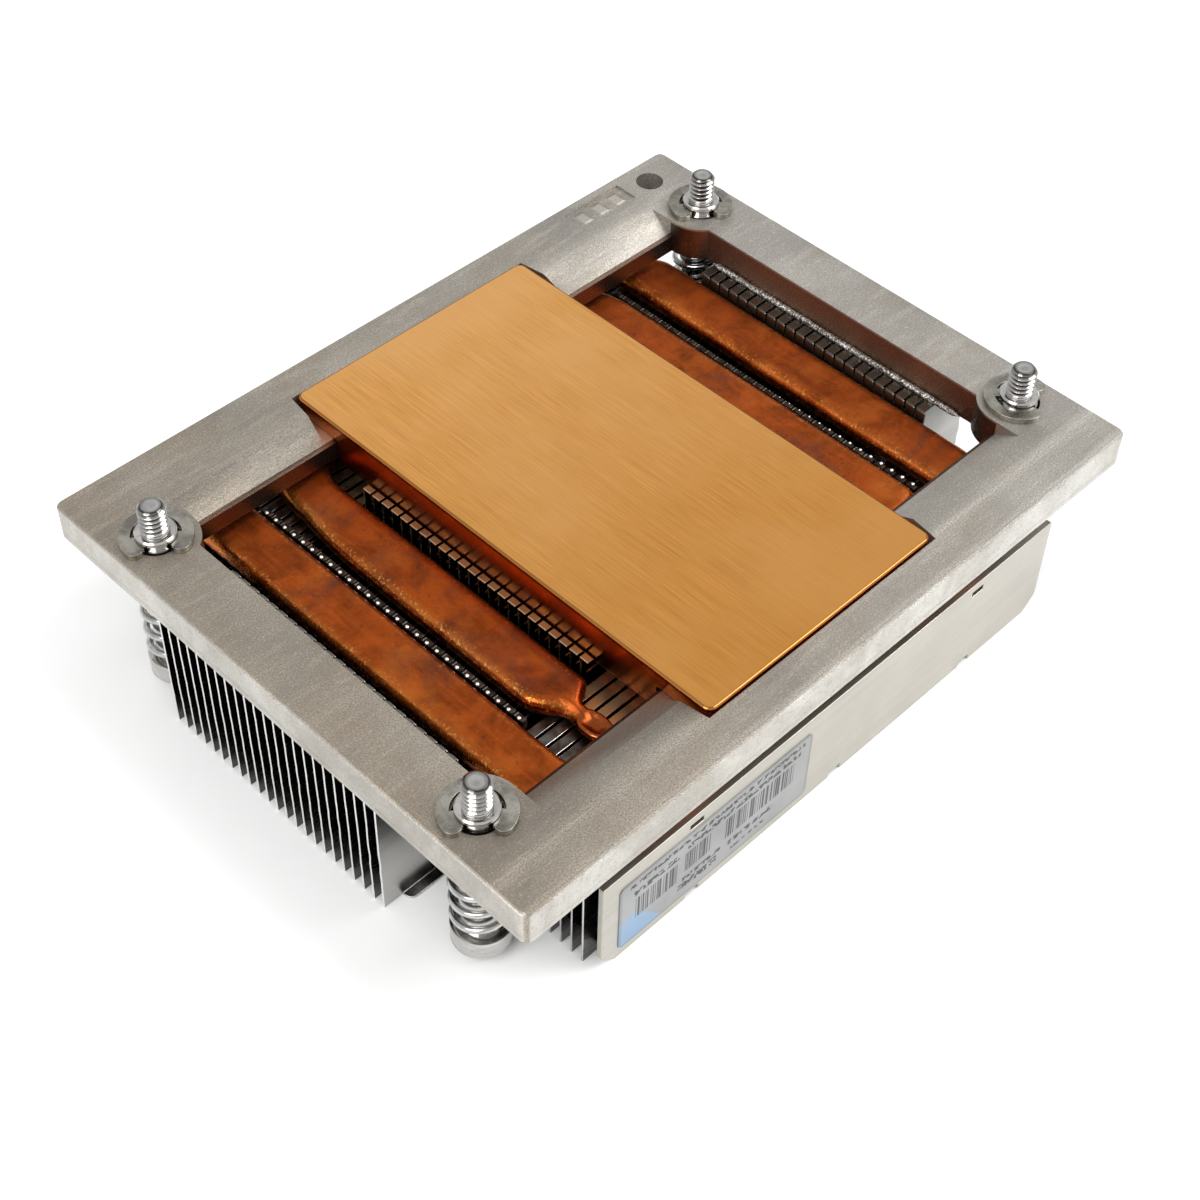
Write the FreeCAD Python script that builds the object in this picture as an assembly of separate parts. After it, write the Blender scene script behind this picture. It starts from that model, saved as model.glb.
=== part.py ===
import FreeCAD, Part
import math
import os

# Processor heat sink for a flat server: a cast mounting frame, a copper base block,
# four flattened heat pipes and a folded fin stack, held down by four captive spring screws.
# Millimetres, +Z up. X runs along the fins, Y across them. The origin is under the middle
# of the fin stack, on the plane the stack stands on.

# Mounting frame
SCREW_SPACING_X = 94.0
SCREW_SPACING_Y = 56.0
SCREW_END_MARGIN = 5.5
SCREW_SIDE_MARGIN = 13.25
FRAME_THICKNESS = 5.0
FRAME_CORNER_RADIUS = 1.2
FRAME_EDGE_CHAMFER = 0.3
END_BAR_WIDTH = 8.5
SIDE_BAR_WIDTH = 13.05
SIDE_BAR_SLOPE_RUN = 4.1
SIDE_BAR_SLOPE_DROP = 2.4
SCREW_HOLE_DIAMETER = 5.8
SCREW_BOSS_RADIUS = 5.3
LOCATING_HOLE_DIAMETER = 3.9
LOCATING_HOLE_END_INSET = 6.4
LOCATING_HOLE_SIDE_INSET = 4.1
MARKING_PANEL_LENGTH = 10.6
MARKING_PANEL_WIDTH = 3.8
MARKING_PANEL_DEPTH = 0.3
MARKING_PANEL_END_INSET = 10.5
MARKING_PANEL_SIDE_INSET = 1.6

# Base block
BASE_WIDTH = 39.2
BASE_END_INSET = 5.25
BASE_PROUD = 0.5
BASE_LIP_THICKNESS = 2.5
BASE_CORNER_RADIUS = 1.2
BASE_EDGE_CHAMFER = 0.2
RECESS_END_GAP = 0.25
RECESS_SIDE_GAP = 0.35
RECESS_FLARE = 1.2
BLOCK_BAR_CLEARANCE = 0.3

# Heat pipes
PIPE_WIDTH = 7.7
PIPE_THICKNESS = 3.0
PIPE_UNDER_FRAME_GAP = 0.6
PIPE_RIB_GAP = 0.45
OUTER_BEND_CLEARANCE = 0.4
INNER_BEND_INSET = 1.0
TIP_SHOULDER_LENGTH = 2.6
TIP_NECK_LENGTH = 1.4
TIP_CRIMP_LENGTH = 3.6
TIP_NECK_WIDTH = 2.3
TIP_CRIMP_WIDTH = 3.5
TIP_CRIMP_THICKNESS = 1.3
TIP_END_TAPER = 0.8
TIP_SHOULDER_STEPS = 3
PIPE_SIDE_CHORDS = 4
PIPE_BEND_STEPS = 10
INNER_TIP_INSET = 1.8
HIDDEN_LEG_INSET = 9.2
OUTER_CAP_INSET = 3.2

# Fin stack
STACK_HEIGHT = 19.0
FIN_THICKNESS = 0.3
FAR_SHORT_FIN_COUNT = 10
LONG_FIN_COUNT = 23
LABEL_SHORT_FIN_COUNT = 12
LONG_FIN_INSET = 0.25
SHORT_FIN_SCREW_GAP = 2.3
COVER_INSET = 0.89
COVER_THICKNESS = 0.8
COVER_END_INSET = 0.7
COVER_CORNER_CUT = 2.2
INNER_RIB_WIDTH = 1.0
MIDDLE_RIB_WIDTH = 0.8
MIDDLE_RIB_HEIGHT = 1.8
INNER_RIB_DROP = 0.2
BLOCK_RIB_GAP = 0.2
SEAT_LAND_WIDTH = 2.8
OUTER_SEAT_WIDTH = 9.8
FLANGE_END_INSET = 2.8
TOP_FLANGE_GAP = 0.35
LOCK_SLOT_SPACING = 25.4
LOCK_SLOT_WIDTH = 2.2
LOCK_SLOT_HEIGHT = 0.9
LOCK_SLOT_EDGE = 1.2

# Label
LABEL_LENGTH = 32.0
LABEL_HEIGHT = 11.4
LABEL_THICKNESS = 0.12
LABEL_CORNER_CUT = 0.5
LABEL_END_INSET = 2.6
LABEL_BOTTOM_INSET = 1.5

# Captive screws, springs and clips
HEAD_DIAMETER = 7.4
HEAD_HEIGHT = 3.0
HEAD_FLOOR_CLEARANCE = 1.4
SOCKET_ACROSS_FLATS = 3.5
SOCKET_DEPTH = 1.8
SHOULDER_DIAMETER = 5.1
GROOVE_DIAMETER = 3.9
GROOVE_SIDE_PLAY = 0.05
CLIP_BORE_PLAY = 0.05
COLLAR_HEIGHT = 0.7
THREAD_DIAMETER = 3.5
THREAD_LENGTH = 4.05
THREAD_CHAMFER = 0.45
CLIP_DIAMETER = 9.0
CLIP_THICKNESS = 0.8
CLIP_RING_WIDTH = 1.5
CLIP_LOBE_RADIUS = 1.15
CLIP_LOBE_ANGLE = 54.0
CLIP_LUG_ANGLE = 74.0
CLIP_LUG_WIDTH = 1.4
SPRING_DIAMETER = 7.4
SPRING_WIRE = 0.9
SPRING_TURNS = 4.5
SPRING_STEPS_PER_TURN = 8
SPRING_WIRE_SIDES = 6
CLIP_MOUTH_ANGLES = (-131, -122, -128, -60)

V = FreeCAD.Vector

# Heights that follow from the stack
frame_bottom = STACK_HEIGHT
frame_top = frame_bottom + FRAME_THICKNESS
base_top = frame_top + BASE_PROUD
lip_bottom = base_top - BASE_LIP_THICKNESS
pipe_top = frame_bottom - PIPE_UNDER_FRAME_GAP
pipe_bottom = pipe_top - PIPE_THICKNESS

# Outline of the frame, set by the screws, and its window
screw_x = SCREW_SPACING_X / 2
screw_y = SCREW_SPACING_Y / 2
frame_length = SCREW_SPACING_X + 2 * SCREW_END_MARGIN
frame_width = SCREW_SPACING_Y + 2 * SCREW_SIDE_MARGIN
window_half_x = frame_length / 2 - END_BAR_WIDTH
window_half_y = frame_width / 2 - SIDE_BAR_WIDTH
base_length = frame_width - 2 * BASE_END_INSET

# Places across the fins
fin_count = FAR_SHORT_FIN_COUNT + LONG_FIN_COUNT + LABEL_SHORT_FIN_COUNT
cover_outer_y = frame_width / 2 - COVER_INSET
stack_half = cover_outer_y - COVER_THICKNESS
fin_pitch = 2 * stack_half / fin_count
long_fin_half = frame_length / 2 - LONG_FIN_INSET
short_fin_half = screw_x - HEAD_DIAMETER / 2 - SHORT_FIN_SCREW_GAP
cover_half = short_fin_half - COVER_END_INSET

# Places along the fins, from the middle outwards. Four pipe legs lie side by side under the
# block; beside it each window shows an inner and an outer leg with a low rib between them
leg_pitch = BASE_WIDTH / 4
middle_seat_half = BASE_WIDTH / 2 + BLOCK_RIB_GAP
inner_seat_start = middle_seat_half + INNER_RIB_WIDTH
outer_seat_end = window_half_x - SEAT_LAND_WIDTH
outer_seat_start = outer_seat_end - OUTER_SEAT_WIDTH
inner_pipe_x = inner_seat_start + PIPE_RIB_GAP + PIPE_WIDTH / 2
outer_pipe_x = outer_seat_start + PIPE_RIB_GAP + PIPE_WIDTH / 2
inner_leg_x = leg_pitch / 2
outer_leg_x = 1.5 * leg_pitch

# Heights of the screws, springs and clips
head_top = HEAD_FLOOR_CLEARANCE + HEAD_HEIGHT
groove_bottom = frame_top - GROOVE_SIDE_PLAY
groove_top = frame_top + CLIP_THICKNESS + GROOVE_SIDE_PLAY
collar_top = groove_top + COLLAR_HEIGHT
screw_tip = collar_top + THREAD_LENGTH
corners = []
for side_x, side_y in ((-1, -1), (-1, 1), (1, 1), (1, -1)):
    corners.append((side_x * screw_x, side_y * screw_y))

parts = {}


def box(x0, x1, y0, y1, z0, z1):
    return Part.makeBox(x1 - x0, y1 - y0, z1 - z0, V(x0, y0, z0))


def rounded_plate(length, width, height, radius, z):
    """Flat plate centred on the Z axis, with its upright corners rounded."""
    plate = box(-length / 2, length / 2, -width / 2, width / 2, z, z + height)
    upright = [e for e in plate.Edges if abs(e.Vertexes[0].Z - e.Vertexes[1].Z) > height / 2]
    return plate.makeFillet(radius, upright)


def face_xz(points, y):
    """Closed flat face in a plane across Y."""
    corners_3d = [V(x, y, z) for x, z in points]
    return Part.Face(Part.makePolygon(corners_3d + [corners_3d[0]]))


def face_yz(points, x):
    corners_3d = [V(x, y, z) for y, z in points]
    return Part.Face(Part.makePolygon(corners_3d + [corners_3d[0]]))


def face_xy(points, z):
    corners_3d = [V(x, y, z) for x, y in points]
    return Part.Face(Part.makePolygon(corners_3d + [corners_3d[0]]))


def cylinder(radius, height, x, y, z):
    return Part.makeCylinder(radius, height, V(x, y, z))


# Mounting frame
def make_frame():
    frame = rounded_plate(frame_length, frame_width, FRAME_THICKNESS, FRAME_CORNER_RADIUS, frame_bottom)
    rim = [e for e in frame.Edges if e.BoundBox.ZMin > frame_top - 0.001]
    frame = frame.makeChamfer(FRAME_EDGE_CHAMFER, rim)
    window = box(-window_half_x, window_half_x, -window_half_y, window_half_y, frame_bottom, frame_top)
    boss_side = screw_x - SCREW_BOSS_RADIUS
    for x, y in corners:
        window = window.cut(cylinder(SCREW_BOSS_RADIUS, FRAME_THICKNESS, x, y, frame_bottom))
    frame = frame.cut(window)
    # Long bars slope down to the window beside the base block
    slope_top = window_half_y + SIDE_BAR_SLOPE_RUN
    slope_low = frame_top - SIDE_BAR_SLOPE_DROP
    for side in (-1, 1):
        wedge = [(side * window_half_y, slope_low), (side * slope_top, frame_top)]
        wedge += [(side * window_half_y, frame_top)]
        bevel = face_yz(wedge, -boss_side).extrude(V(2 * boss_side, 0, 0))
        frame = frame.cut(bevel)
    # Recesses that take the lips of the base block, flared towards the window
    recess_half = BASE_WIDTH / 2 + RECESS_SIDE_GAP
    recess_end = base_length / 2 + RECESS_END_GAP
    flare_half = recess_half + RECESS_FLARE
    for side in (-1, 1):
        outline = [(-flare_half, side * window_half_y), (-recess_half, side * recess_end)]
        outline += [(recess_half, side * recess_end), (flare_half, side * window_half_y)]
        recess = face_xy(outline, lip_bottom).extrude(V(0, 0, frame_top - lip_bottom))
        frame = frame.cut(recess)
    for x, y in corners:
        frame = frame.cut(cylinder(SCREW_HOLE_DIAMETER / 2, FRAME_THICKNESS, x, y, frame_bottom))
    hole_x = frame_length / 2 - LOCATING_HOLE_END_INSET
    hole_y = frame_width / 2 - LOCATING_HOLE_SIDE_INSET
    frame = frame.cut(cylinder(LOCATING_HOLE_DIAMETER / 2, FRAME_THICKNESS, hole_x, hole_y, frame_bottom))
    panel_x = frame_length / 2 - MARKING_PANEL_END_INSET
    panel_y = frame_width / 2 - MARKING_PANEL_SIDE_INSET
    panel = box(panel_x - MARKING_PANEL_LENGTH, panel_x, panel_y - MARKING_PANEL_WIDTH, panel_y,
                frame_top - MARKING_PANEL_DEPTH, frame_top)
    return frame.cut(panel)


# Base block: a lipped plate on a thicker body that presses on the pipes
def make_base():
    plate = rounded_plate(BASE_WIDTH, base_length, BASE_LIP_THICKNESS, BASE_CORNER_RADIUS, lip_bottom)
    rim = [e for e in plate.Edges if e.BoundBox.ZMin > base_top - 0.001]
    plate = plate.makeChamfer(BASE_EDGE_CHAMFER, rim)
    body_half = window_half_y - BLOCK_BAR_CLEARANCE
    body = box(-BASE_WIDTH / 2, BASE_WIDTH / 2, -body_half, body_half, pipe_top, lip_bottom)
    return plate.fuse(body).removeSplitter()


def skin(rings):
    """Solid of flat facets through rings of as many points each, closed at both ends."""
    faces = [Part.Face(Part.makePolygon(rings[0] + [rings[0][0]]))]
    faces.append(Part.Face(Part.makePolygon(rings[-1] + [rings[-1][0]])))
    for near, far in zip(rings, rings[1:]):
        for k in range(len(near)):
            after = (k + 1) % len(near)
            for triangle in ((near[k], near[after], far[after]), (near[k], far[after], far[k])):
                faces.append(Part.Face(Part.makePolygon(list(triangle) + [triangle[0]])))
    return Part.Solid(Part.Shell(faces))


# Heat pipes: a flattened tube bent to a U in the plane of the base, with both ends pinched
def pipe_ring(centre, across, width, thickness):
    """Slot-shaped outline of the tube; its wide way is along a level direction."""
    r = thickness / 2
    flat = width / 2 - r
    ring = []
    for side in (1, -1):
        for k in range(PIPE_SIDE_CHORDS + 1):
            angle = math.pi * (0.5 - k / PIPE_SIDE_CHORDS)
            out = side * (flat + r * math.cos(angle))
            ring.append(centre + across * out + V(0, 0, side * r * math.sin(angle)))
    return ring


def tip_stations():
    """Distance from the full tube, width and thickness, from the shoulder to the crimped end."""
    stations = []
    for k in range(1, TIP_SHOULDER_STEPS + 1):
        share = k / TIP_SHOULDER_STEPS
        blend = (1 - math.cos(math.pi * share)) / 2
        width = PIPE_WIDTH + (TIP_NECK_WIDTH - PIPE_WIDTH) * blend
        thickness = PIPE_THICKNESS + (TIP_CRIMP_THICKNESS - PIPE_THICKNESS) * blend
        stations.append((TIP_SHOULDER_LENGTH * share, width, thickness))
    crimp_start = TIP_SHOULDER_LENGTH + TIP_NECK_LENGTH
    crimp_end = crimp_start + TIP_CRIMP_LENGTH
    stations.append((crimp_start, TIP_CRIMP_WIDTH, TIP_CRIMP_THICKNESS))
    stations.append((crimp_end, TIP_CRIMP_WIDTH * TIP_END_TAPER, TIP_CRIMP_THICKNESS * TIP_END_TAPER))
    return stations


def heat_pipe(leg_x, leg_tip_y, bend_y, return_x, return_tip_y):
    """Leg in the window, half turn beyond bend_y, return leg under the base."""
    z = (pipe_top + pipe_bottom) / 2
    outward = V(1 if leg_x > return_x else -1, 0, 0)
    onward = V(0, 1 if bend_y > leg_tip_y else -1, 0)
    middle = V((leg_x + return_x) / 2, bend_y, z)
    bend_radius = abs(leg_x - return_x) / 2
    stations = tip_stations()
    tip_length = stations[-1][0]
    leg_start = V(leg_x, leg_tip_y, z) + onward * tip_length
    rings = []
    for run, width, thickness in reversed(stations):
        rings.append(pipe_ring(leg_start - onward * run, outward, width, thickness))
    rings.append(pipe_ring(leg_start, outward, PIPE_WIDTH, PIPE_THICKNESS))
    for k in range(PIPE_BEND_STEPS + 1):
        angle = math.pi * k / PIPE_BEND_STEPS
        across = outward * math.cos(angle) + onward * math.sin(angle)
        rings.append(pipe_ring(middle + across * bend_radius, across, PIPE_WIDTH, PIPE_THICKNESS))
    return_start = V(return_x, return_tip_y, z) + onward * tip_length
    inward = outward * -1
    rings.append(pipe_ring(return_start, inward, PIPE_WIDTH, PIPE_THICKNESS))
    for run, width, thickness in stations:
        rings.append(pipe_ring(return_start - onward * run, inward, width, thickness))
    return skin(rings)


outer_bend_y = stack_half - OUTER_BEND_CLEARANCE - PIPE_WIDTH / 2 - (outer_pipe_x - outer_leg_x) / 2
inner_bend_y = stack_half - INNER_BEND_INSET - PIPE_WIDTH / 2 - (inner_pipe_x - inner_leg_x) / 2
outer_tip_y = stack_half - OUTER_CAP_INSET
inner_tip_y = window_half_y - INNER_TIP_INSET
hidden_leg_y = window_half_y - HIDDEN_LEG_INSET


# Fins: a sheet with flanges along its top steps and its foot, folded towards the next sheet
def long_fin_steps():
    """Level runs of a long fin's top edge from the middle outwards: x from, x to, height."""
    inner_rib_top = STACK_HEIGHT - INNER_RIB_DROP
    return [
        (0.0, middle_seat_half, pipe_bottom),
        (middle_seat_half, inner_seat_start, inner_rib_top),
        (inner_seat_start, outer_seat_start - MIDDLE_RIB_WIDTH, pipe_bottom),
        (outer_seat_start - MIDDLE_RIB_WIDTH, outer_seat_start, pipe_bottom + MIDDLE_RIB_HEIGHT),
        (outer_seat_start, outer_seat_end, pipe_bottom),
        (outer_seat_end, long_fin_half, STACK_HEIGHT),
    ]


def short_fin_steps(has_rib):
    """The same for one half of a short fin, with the low rib between two pipe legs or without."""
    if not has_rib:
        return [(0.0, short_fin_half, pipe_bottom)]
    return [
        (0.0, outer_seat_start - MIDDLE_RIB_WIDTH, pipe_bottom),
        (outer_seat_start - MIDDLE_RIB_WIDTH, outer_seat_start, pipe_bottom + MIDDLE_RIB_HEIGHT),
        (outer_seat_start, short_fin_half, pipe_bottom),
    ]


def sheet_with_foot(y, left_steps, right_steps):
    """Sheet whose +Y face is at y, and the foot flange that reaches the next sheet."""
    half = right_steps[-1][1]
    outline = []
    for side, steps in ((-1, reversed(left_steps)), (1, right_steps)):
        for x0, x1, z in steps:
            ends = ((x0, z), (x1, z)) if side > 0 else ((-x1, z), (-x0, z))
            outline += [point for point in ends if point not in outline and point != (0.0, pipe_bottom)]
    outline += [(half, 0.0), (-half, 0.0)]
    sheet = face_xz(outline, y).extrude(V(0, -FIN_THICKNESS, 0))
    foot_end = half - FLANGE_END_INSET
    return [sheet, box(-foot_end, foot_end, y - fin_pitch, y, 0.0, FIN_THICKNESS)]


def make_long_fin(y):
    steps = long_fin_steps()
    pieces = sheet_with_foot(y, steps, steps)
    top_y = y - fin_pitch + TOP_FLANGE_GAP
    for side in (-1, 1):
        for x0, x1, z in steps:
            if z >= STACK_HEIGHT - INNER_RIB_DROP:
                near, far = sorted((side * x0, side * min(x1, long_fin_half - FLANGE_END_INSET)))
                pieces.append(box(near, far, top_y, y, z - FIN_THICKNESS, z))
    return pieces[0].multiFuse(pieces[1:]).removeSplitter()


def make_short_fin(y, has_rib):
    """Short fin, with low ribs only where the outer pipes do not bend across it."""
    steps = short_fin_steps(has_rib)
    pieces = sheet_with_foot(y, steps, steps)
    flange_end = short_fin_half - FLANGE_END_INSET
    top_y = y - fin_pitch + TOP_FLANGE_GAP
    pieces.append(box(-flange_end, flange_end, top_y, y, pipe_bottom - FIN_THICKNESS, pipe_bottom))
    return pieces[0].multiFuse(pieces[1:]).removeSplitter()


def make_cover(side):
    """End cover of the stack: lower corners cut off, lock slots along its foot and its top."""
    height = pipe_bottom
    inner = stack_half if side > 0 else -cover_outer_y
    outline = [(-cover_half, height), (-cover_half, COVER_CORNER_CUT), (-cover_half + COVER_CORNER_CUT, 0.0)]
    outline += [(cover_half - COVER_CORNER_CUT, 0.0), (cover_half, COVER_CORNER_CUT), (cover_half, height)]
    cover = face_xz(outline, inner).extrude(V(0, COVER_THICKNESS, 0))
    top_slot_z = height - LOCK_SLOT_EDGE - LOCK_SLOT_HEIGHT
    for place, z in ((-1, 0.0), (0, 0.0), (1, 0.0), (-1, top_slot_z), (1, top_slot_z)):
        x = place * LOCK_SLOT_SPACING - LOCK_SLOT_WIDTH / 2
        slot = box(x, x + LOCK_SLOT_WIDTH, inner, inner + COVER_THICKNESS, z, z + LOCK_SLOT_HEIGHT)
        cover = cover.cut(slot)
    return cover


def make_label():
    x0 = -cover_half + LABEL_END_INSET
    label = box(x0, x0 + LABEL_LENGTH, -cover_outer_y - LABEL_THICKNESS, -cover_outer_y,
                LABEL_BOTTOM_INSET, LABEL_BOTTOM_INSET + LABEL_HEIGHT)
    across = [e for e in label.Edges if abs(e.Vertexes[0].Y - e.Vertexes[1].Y) > LABEL_THICKNESS / 2]
    return label.makeChamfer(LABEL_CORNER_CUT, across)


# Captive screw: one turned piece about its own axis
def make_screw(x, y):
    head_r = HEAD_DIAMETER / 2
    shoulder_r = SHOULDER_DIAMETER / 2
    groove_r = GROOVE_DIAMETER / 2
    thread_r = THREAD_DIAMETER / 2
    low = HEAD_FLOOR_CLEARANCE
    outline = [(0.0, low), (head_r, low), (head_r, head_top)]
    outline += [(shoulder_r, head_top), (shoulder_r, groove_bottom)]
    outline += [(groove_r, groove_bottom), (groove_r, groove_top), (shoulder_r, groove_top)]
    outline += [(shoulder_r, collar_top), (thread_r, collar_top), (thread_r, screw_tip - THREAD_CHAMFER)]
    outline += [(thread_r - THREAD_CHAMFER, screw_tip), (0.0, screw_tip)]
    screw = face_xz(outline, 0.0).revolve(V(0, 0, 0), V(0, 0, 1), 360)
    socket_r = SOCKET_ACROSS_FLATS / math.sqrt(3.0)
    hexagon = [(socket_r * math.cos(k * math.pi / 3), socket_r * math.sin(k * math.pi / 3)) for k in range(6)]
    socket = face_xy(hexagon, low).extrude(V(0, 0, SOCKET_DEPTH))
    screw = screw.cut(socket)
    screw.translate(V(x, y, 0))
    return screw


# Retaining clip: an E-shaped ring with a round lobe on each arm and three lugs in the groove
def make_clip(x, y, mouth_angle):
    outer_r = CLIP_DIAMETER / 2
    ring_r = outer_r - CLIP_RING_WIDTH
    bore_r = GROOVE_DIAMETER / 2 + CLIP_BORE_PLAY
    lobe_r = outer_r - CLIP_LOBE_RADIUS
    arms = []
    arm_sweep = 180 - CLIP_LOBE_ANGLE
    for start in (CLIP_LOBE_ANGLE, 180):
        arm = Part.makeCylinder(outer_r, CLIP_THICKNESS, V(0, 0, frame_top), V(0, 0, 1), arm_sweep)
        arm.rotate(V(0, 0, 0), V(0, 0, 1), start)
        arms.append(arm)
    ring = arms[0].fuse(arms[1]).cut(cylinder(ring_r, CLIP_THICKNESS, 0, 0, frame_top))
    additions = []
    for side in (1, -1):
        angle = math.radians(side * CLIP_LOBE_ANGLE)
        additions.append(cylinder(CLIP_LOBE_RADIUS, CLIP_THICKNESS, lobe_r * math.cos(angle),
                                  lobe_r * math.sin(angle), frame_top))
    for angle in (CLIP_LUG_ANGLE, 180, -CLIP_LUG_ANGLE):
        lug = box(0.0, ring_r + CLIP_RING_WIDTH / 2, -CLIP_LUG_WIDTH / 2, CLIP_LUG_WIDTH / 2,
                  frame_top, frame_top + CLIP_THICKNESS)
        lug.rotate(V(0, 0, 0), V(0, 0, 1), angle)
        additions.append(lug)
    clip = ring.multiFuse(additions).cut(cylinder(bore_r, CLIP_THICKNESS, 0, 0, frame_top)).removeSplitter()
    clip.rotate(V(0, 0, 0), V(0, 0, 1), mouth_angle)
    clip.translate(V(x, y, 0))
    return clip


# Spring: wire along a helix between the screw head and the frame
def make_spring(x, y):
    wire_r = SPRING_WIRE / 2
    coil_r = SPRING_DIAMETER / 2 - wire_r
    rise = frame_bottom - head_top - SPRING_WIRE
    lead = math.atan2(rise / SPRING_TURNS, 2 * math.pi * coil_r)
    steps = round(SPRING_TURNS * SPRING_STEPS_PER_TURN)
    rings = []
    for k in range(steps + 1):
        turn = 2 * math.pi * k / SPRING_STEPS_PER_TURN
        outward = V(math.cos(turn), math.sin(turn), 0)
        along = V(-math.sin(turn), math.cos(turn), 0)
        up = V(0, 0, math.cos(lead)) - along * math.sin(lead)
        centre = V(x, y, head_top + wire_r + rise * k / steps) + outward * coil_r
        ring = []
        for j in range(SPRING_WIRE_SIDES):
            angle = 2 * math.pi * (j + 0.5) / SPRING_WIRE_SIDES
            ring.append(centre + outward * (wire_r * math.cos(angle)) + up * (wire_r * math.sin(angle)))
        rings.append(ring)
    return skin(rings)


parts["mounting_frame"] = make_frame()
parts["base_block"] = make_base()
pipe_places = {
    "front_inner": (-inner_pipe_x, -inner_tip_y, inner_bend_y, -inner_leg_x, -hidden_leg_y),
    "back_inner": (inner_pipe_x, -inner_tip_y, inner_bend_y, inner_leg_x, -hidden_leg_y),
    "front_outer": (-outer_pipe_x, outer_tip_y, -outer_bend_y, -outer_leg_x, hidden_leg_y),
    "back_outer": (outer_pipe_x, outer_tip_y, -outer_bend_y, outer_leg_x, hidden_leg_y),
}
for name, places in pipe_places.items():
    parts["heat_pipe_%s" % name] = heat_pipe(*places)

# Fin stack, from the far side (+Y) to the label side (-Y); short fins go two to a node
fin_y = [stack_half - k * fin_pitch for k in range(fin_count)]
far_side = fin_y[:FAR_SHORT_FIN_COUNT]
between_screws = fin_y[FAR_SHORT_FIN_COUNT:FAR_SHORT_FIN_COUNT + LONG_FIN_COUNT]
label_side = fin_y[FAR_SHORT_FIN_COUNT + LONG_FIN_COUNT:]
for number, y in enumerate(between_screws, 1):
    parts["long_fin_%02d" % number] = make_long_fin(y)
for name, places, has_rib in (("far_short_fins", far_side, True), ("label_short_fins", label_side, False)):
    for number, first in enumerate(range(0, len(places), 2), 1):
        group = [make_short_fin(y, has_rib) for y in places[first:first + 2]]
        solid = group[0] if len(group) == 1 else group[0].multiFuse(group[1:]).removeSplitter()
        parts["%s_%d" % (name, number)] = solid

parts["far_side_cover"] = make_cover(1)
parts["label_side_cover"] = make_cover(-1)
parts["label"] = make_label()

for number, (x, y) in enumerate(corners, 1):
    parts["captive_screw_%d" % number] = make_screw(x, y)
    parts["retaining_clip_%d" % number] = make_clip(x, y, CLIP_MOUTH_ANGLES[number - 1])
    parts["screw_spring_%d" % number] = make_spring(x, y)

os.makedirs("parts", exist_ok=True)
for name, shape in parts.items():
    shape.exportStep("parts/%s.step" % name)
    print(name, len(shape.Solids), shape.isValid(), round(shape.Volume, 2))
print("nodes", len(parts))
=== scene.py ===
import math

import bmesh
import bpy
import numpy as np
from mathutils import Matrix, Vector


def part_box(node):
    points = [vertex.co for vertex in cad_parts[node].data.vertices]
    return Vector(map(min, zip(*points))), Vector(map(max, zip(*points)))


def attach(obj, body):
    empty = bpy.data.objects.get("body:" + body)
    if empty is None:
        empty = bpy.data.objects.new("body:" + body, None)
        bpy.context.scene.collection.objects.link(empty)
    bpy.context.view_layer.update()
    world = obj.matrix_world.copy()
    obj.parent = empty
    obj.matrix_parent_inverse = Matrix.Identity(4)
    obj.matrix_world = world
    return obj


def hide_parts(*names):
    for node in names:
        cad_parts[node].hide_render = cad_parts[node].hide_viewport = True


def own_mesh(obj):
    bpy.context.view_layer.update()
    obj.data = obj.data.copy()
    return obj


bl_info = {
    "name": "Processor heat sink finishes",
    "version": (1, 0, 0),
    "blender": (4, 5, 0),
    "location": "View3D > Sidebar > Heat sink",
    "description": "Builds the round, folded and worn surfaces of a server processor heat sink",
    "category": "Object",
}

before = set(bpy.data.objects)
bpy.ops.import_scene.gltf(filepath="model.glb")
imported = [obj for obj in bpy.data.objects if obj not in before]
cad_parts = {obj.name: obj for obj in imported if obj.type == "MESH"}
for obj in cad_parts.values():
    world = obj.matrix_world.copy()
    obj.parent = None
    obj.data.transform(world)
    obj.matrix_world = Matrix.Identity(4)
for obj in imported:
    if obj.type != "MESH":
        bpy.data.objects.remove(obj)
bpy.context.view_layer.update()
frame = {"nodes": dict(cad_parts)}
MM = 0.001
CORNERS = (1, 2, 3, 4)


def middle_of(node):
    """Middle of a solid piece's box."""
    low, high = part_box(node)
    return (low + high) / 2


# Settings that a user would change

def length(name, default, description):
    return bpy.props.FloatProperty(
        name=name, description=description, default=default, precision=5, unit="LENGTH")


def colour(name, default, description):
    return bpy.props.FloatVectorProperty(
        name=name, description=description, default=default, size=3, min=0.0, max=1.0, subtype="COLOR")


def angle(name, degrees, description):
    return bpy.props.FloatProperty(
        name=name, description=description, default=math.radians(degrees), subtype="ANGLE")


def count(name, default, description):
    return bpy.props.IntProperty(name=name, description=description, default=default, min=1)


def plain_number(name, default, description):
    return bpy.props.FloatProperty(name=name, description=description, default=default)


def group(kind, name):
    return bpy.props.PointerProperty(type=kind, name=name, description=name)


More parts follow.
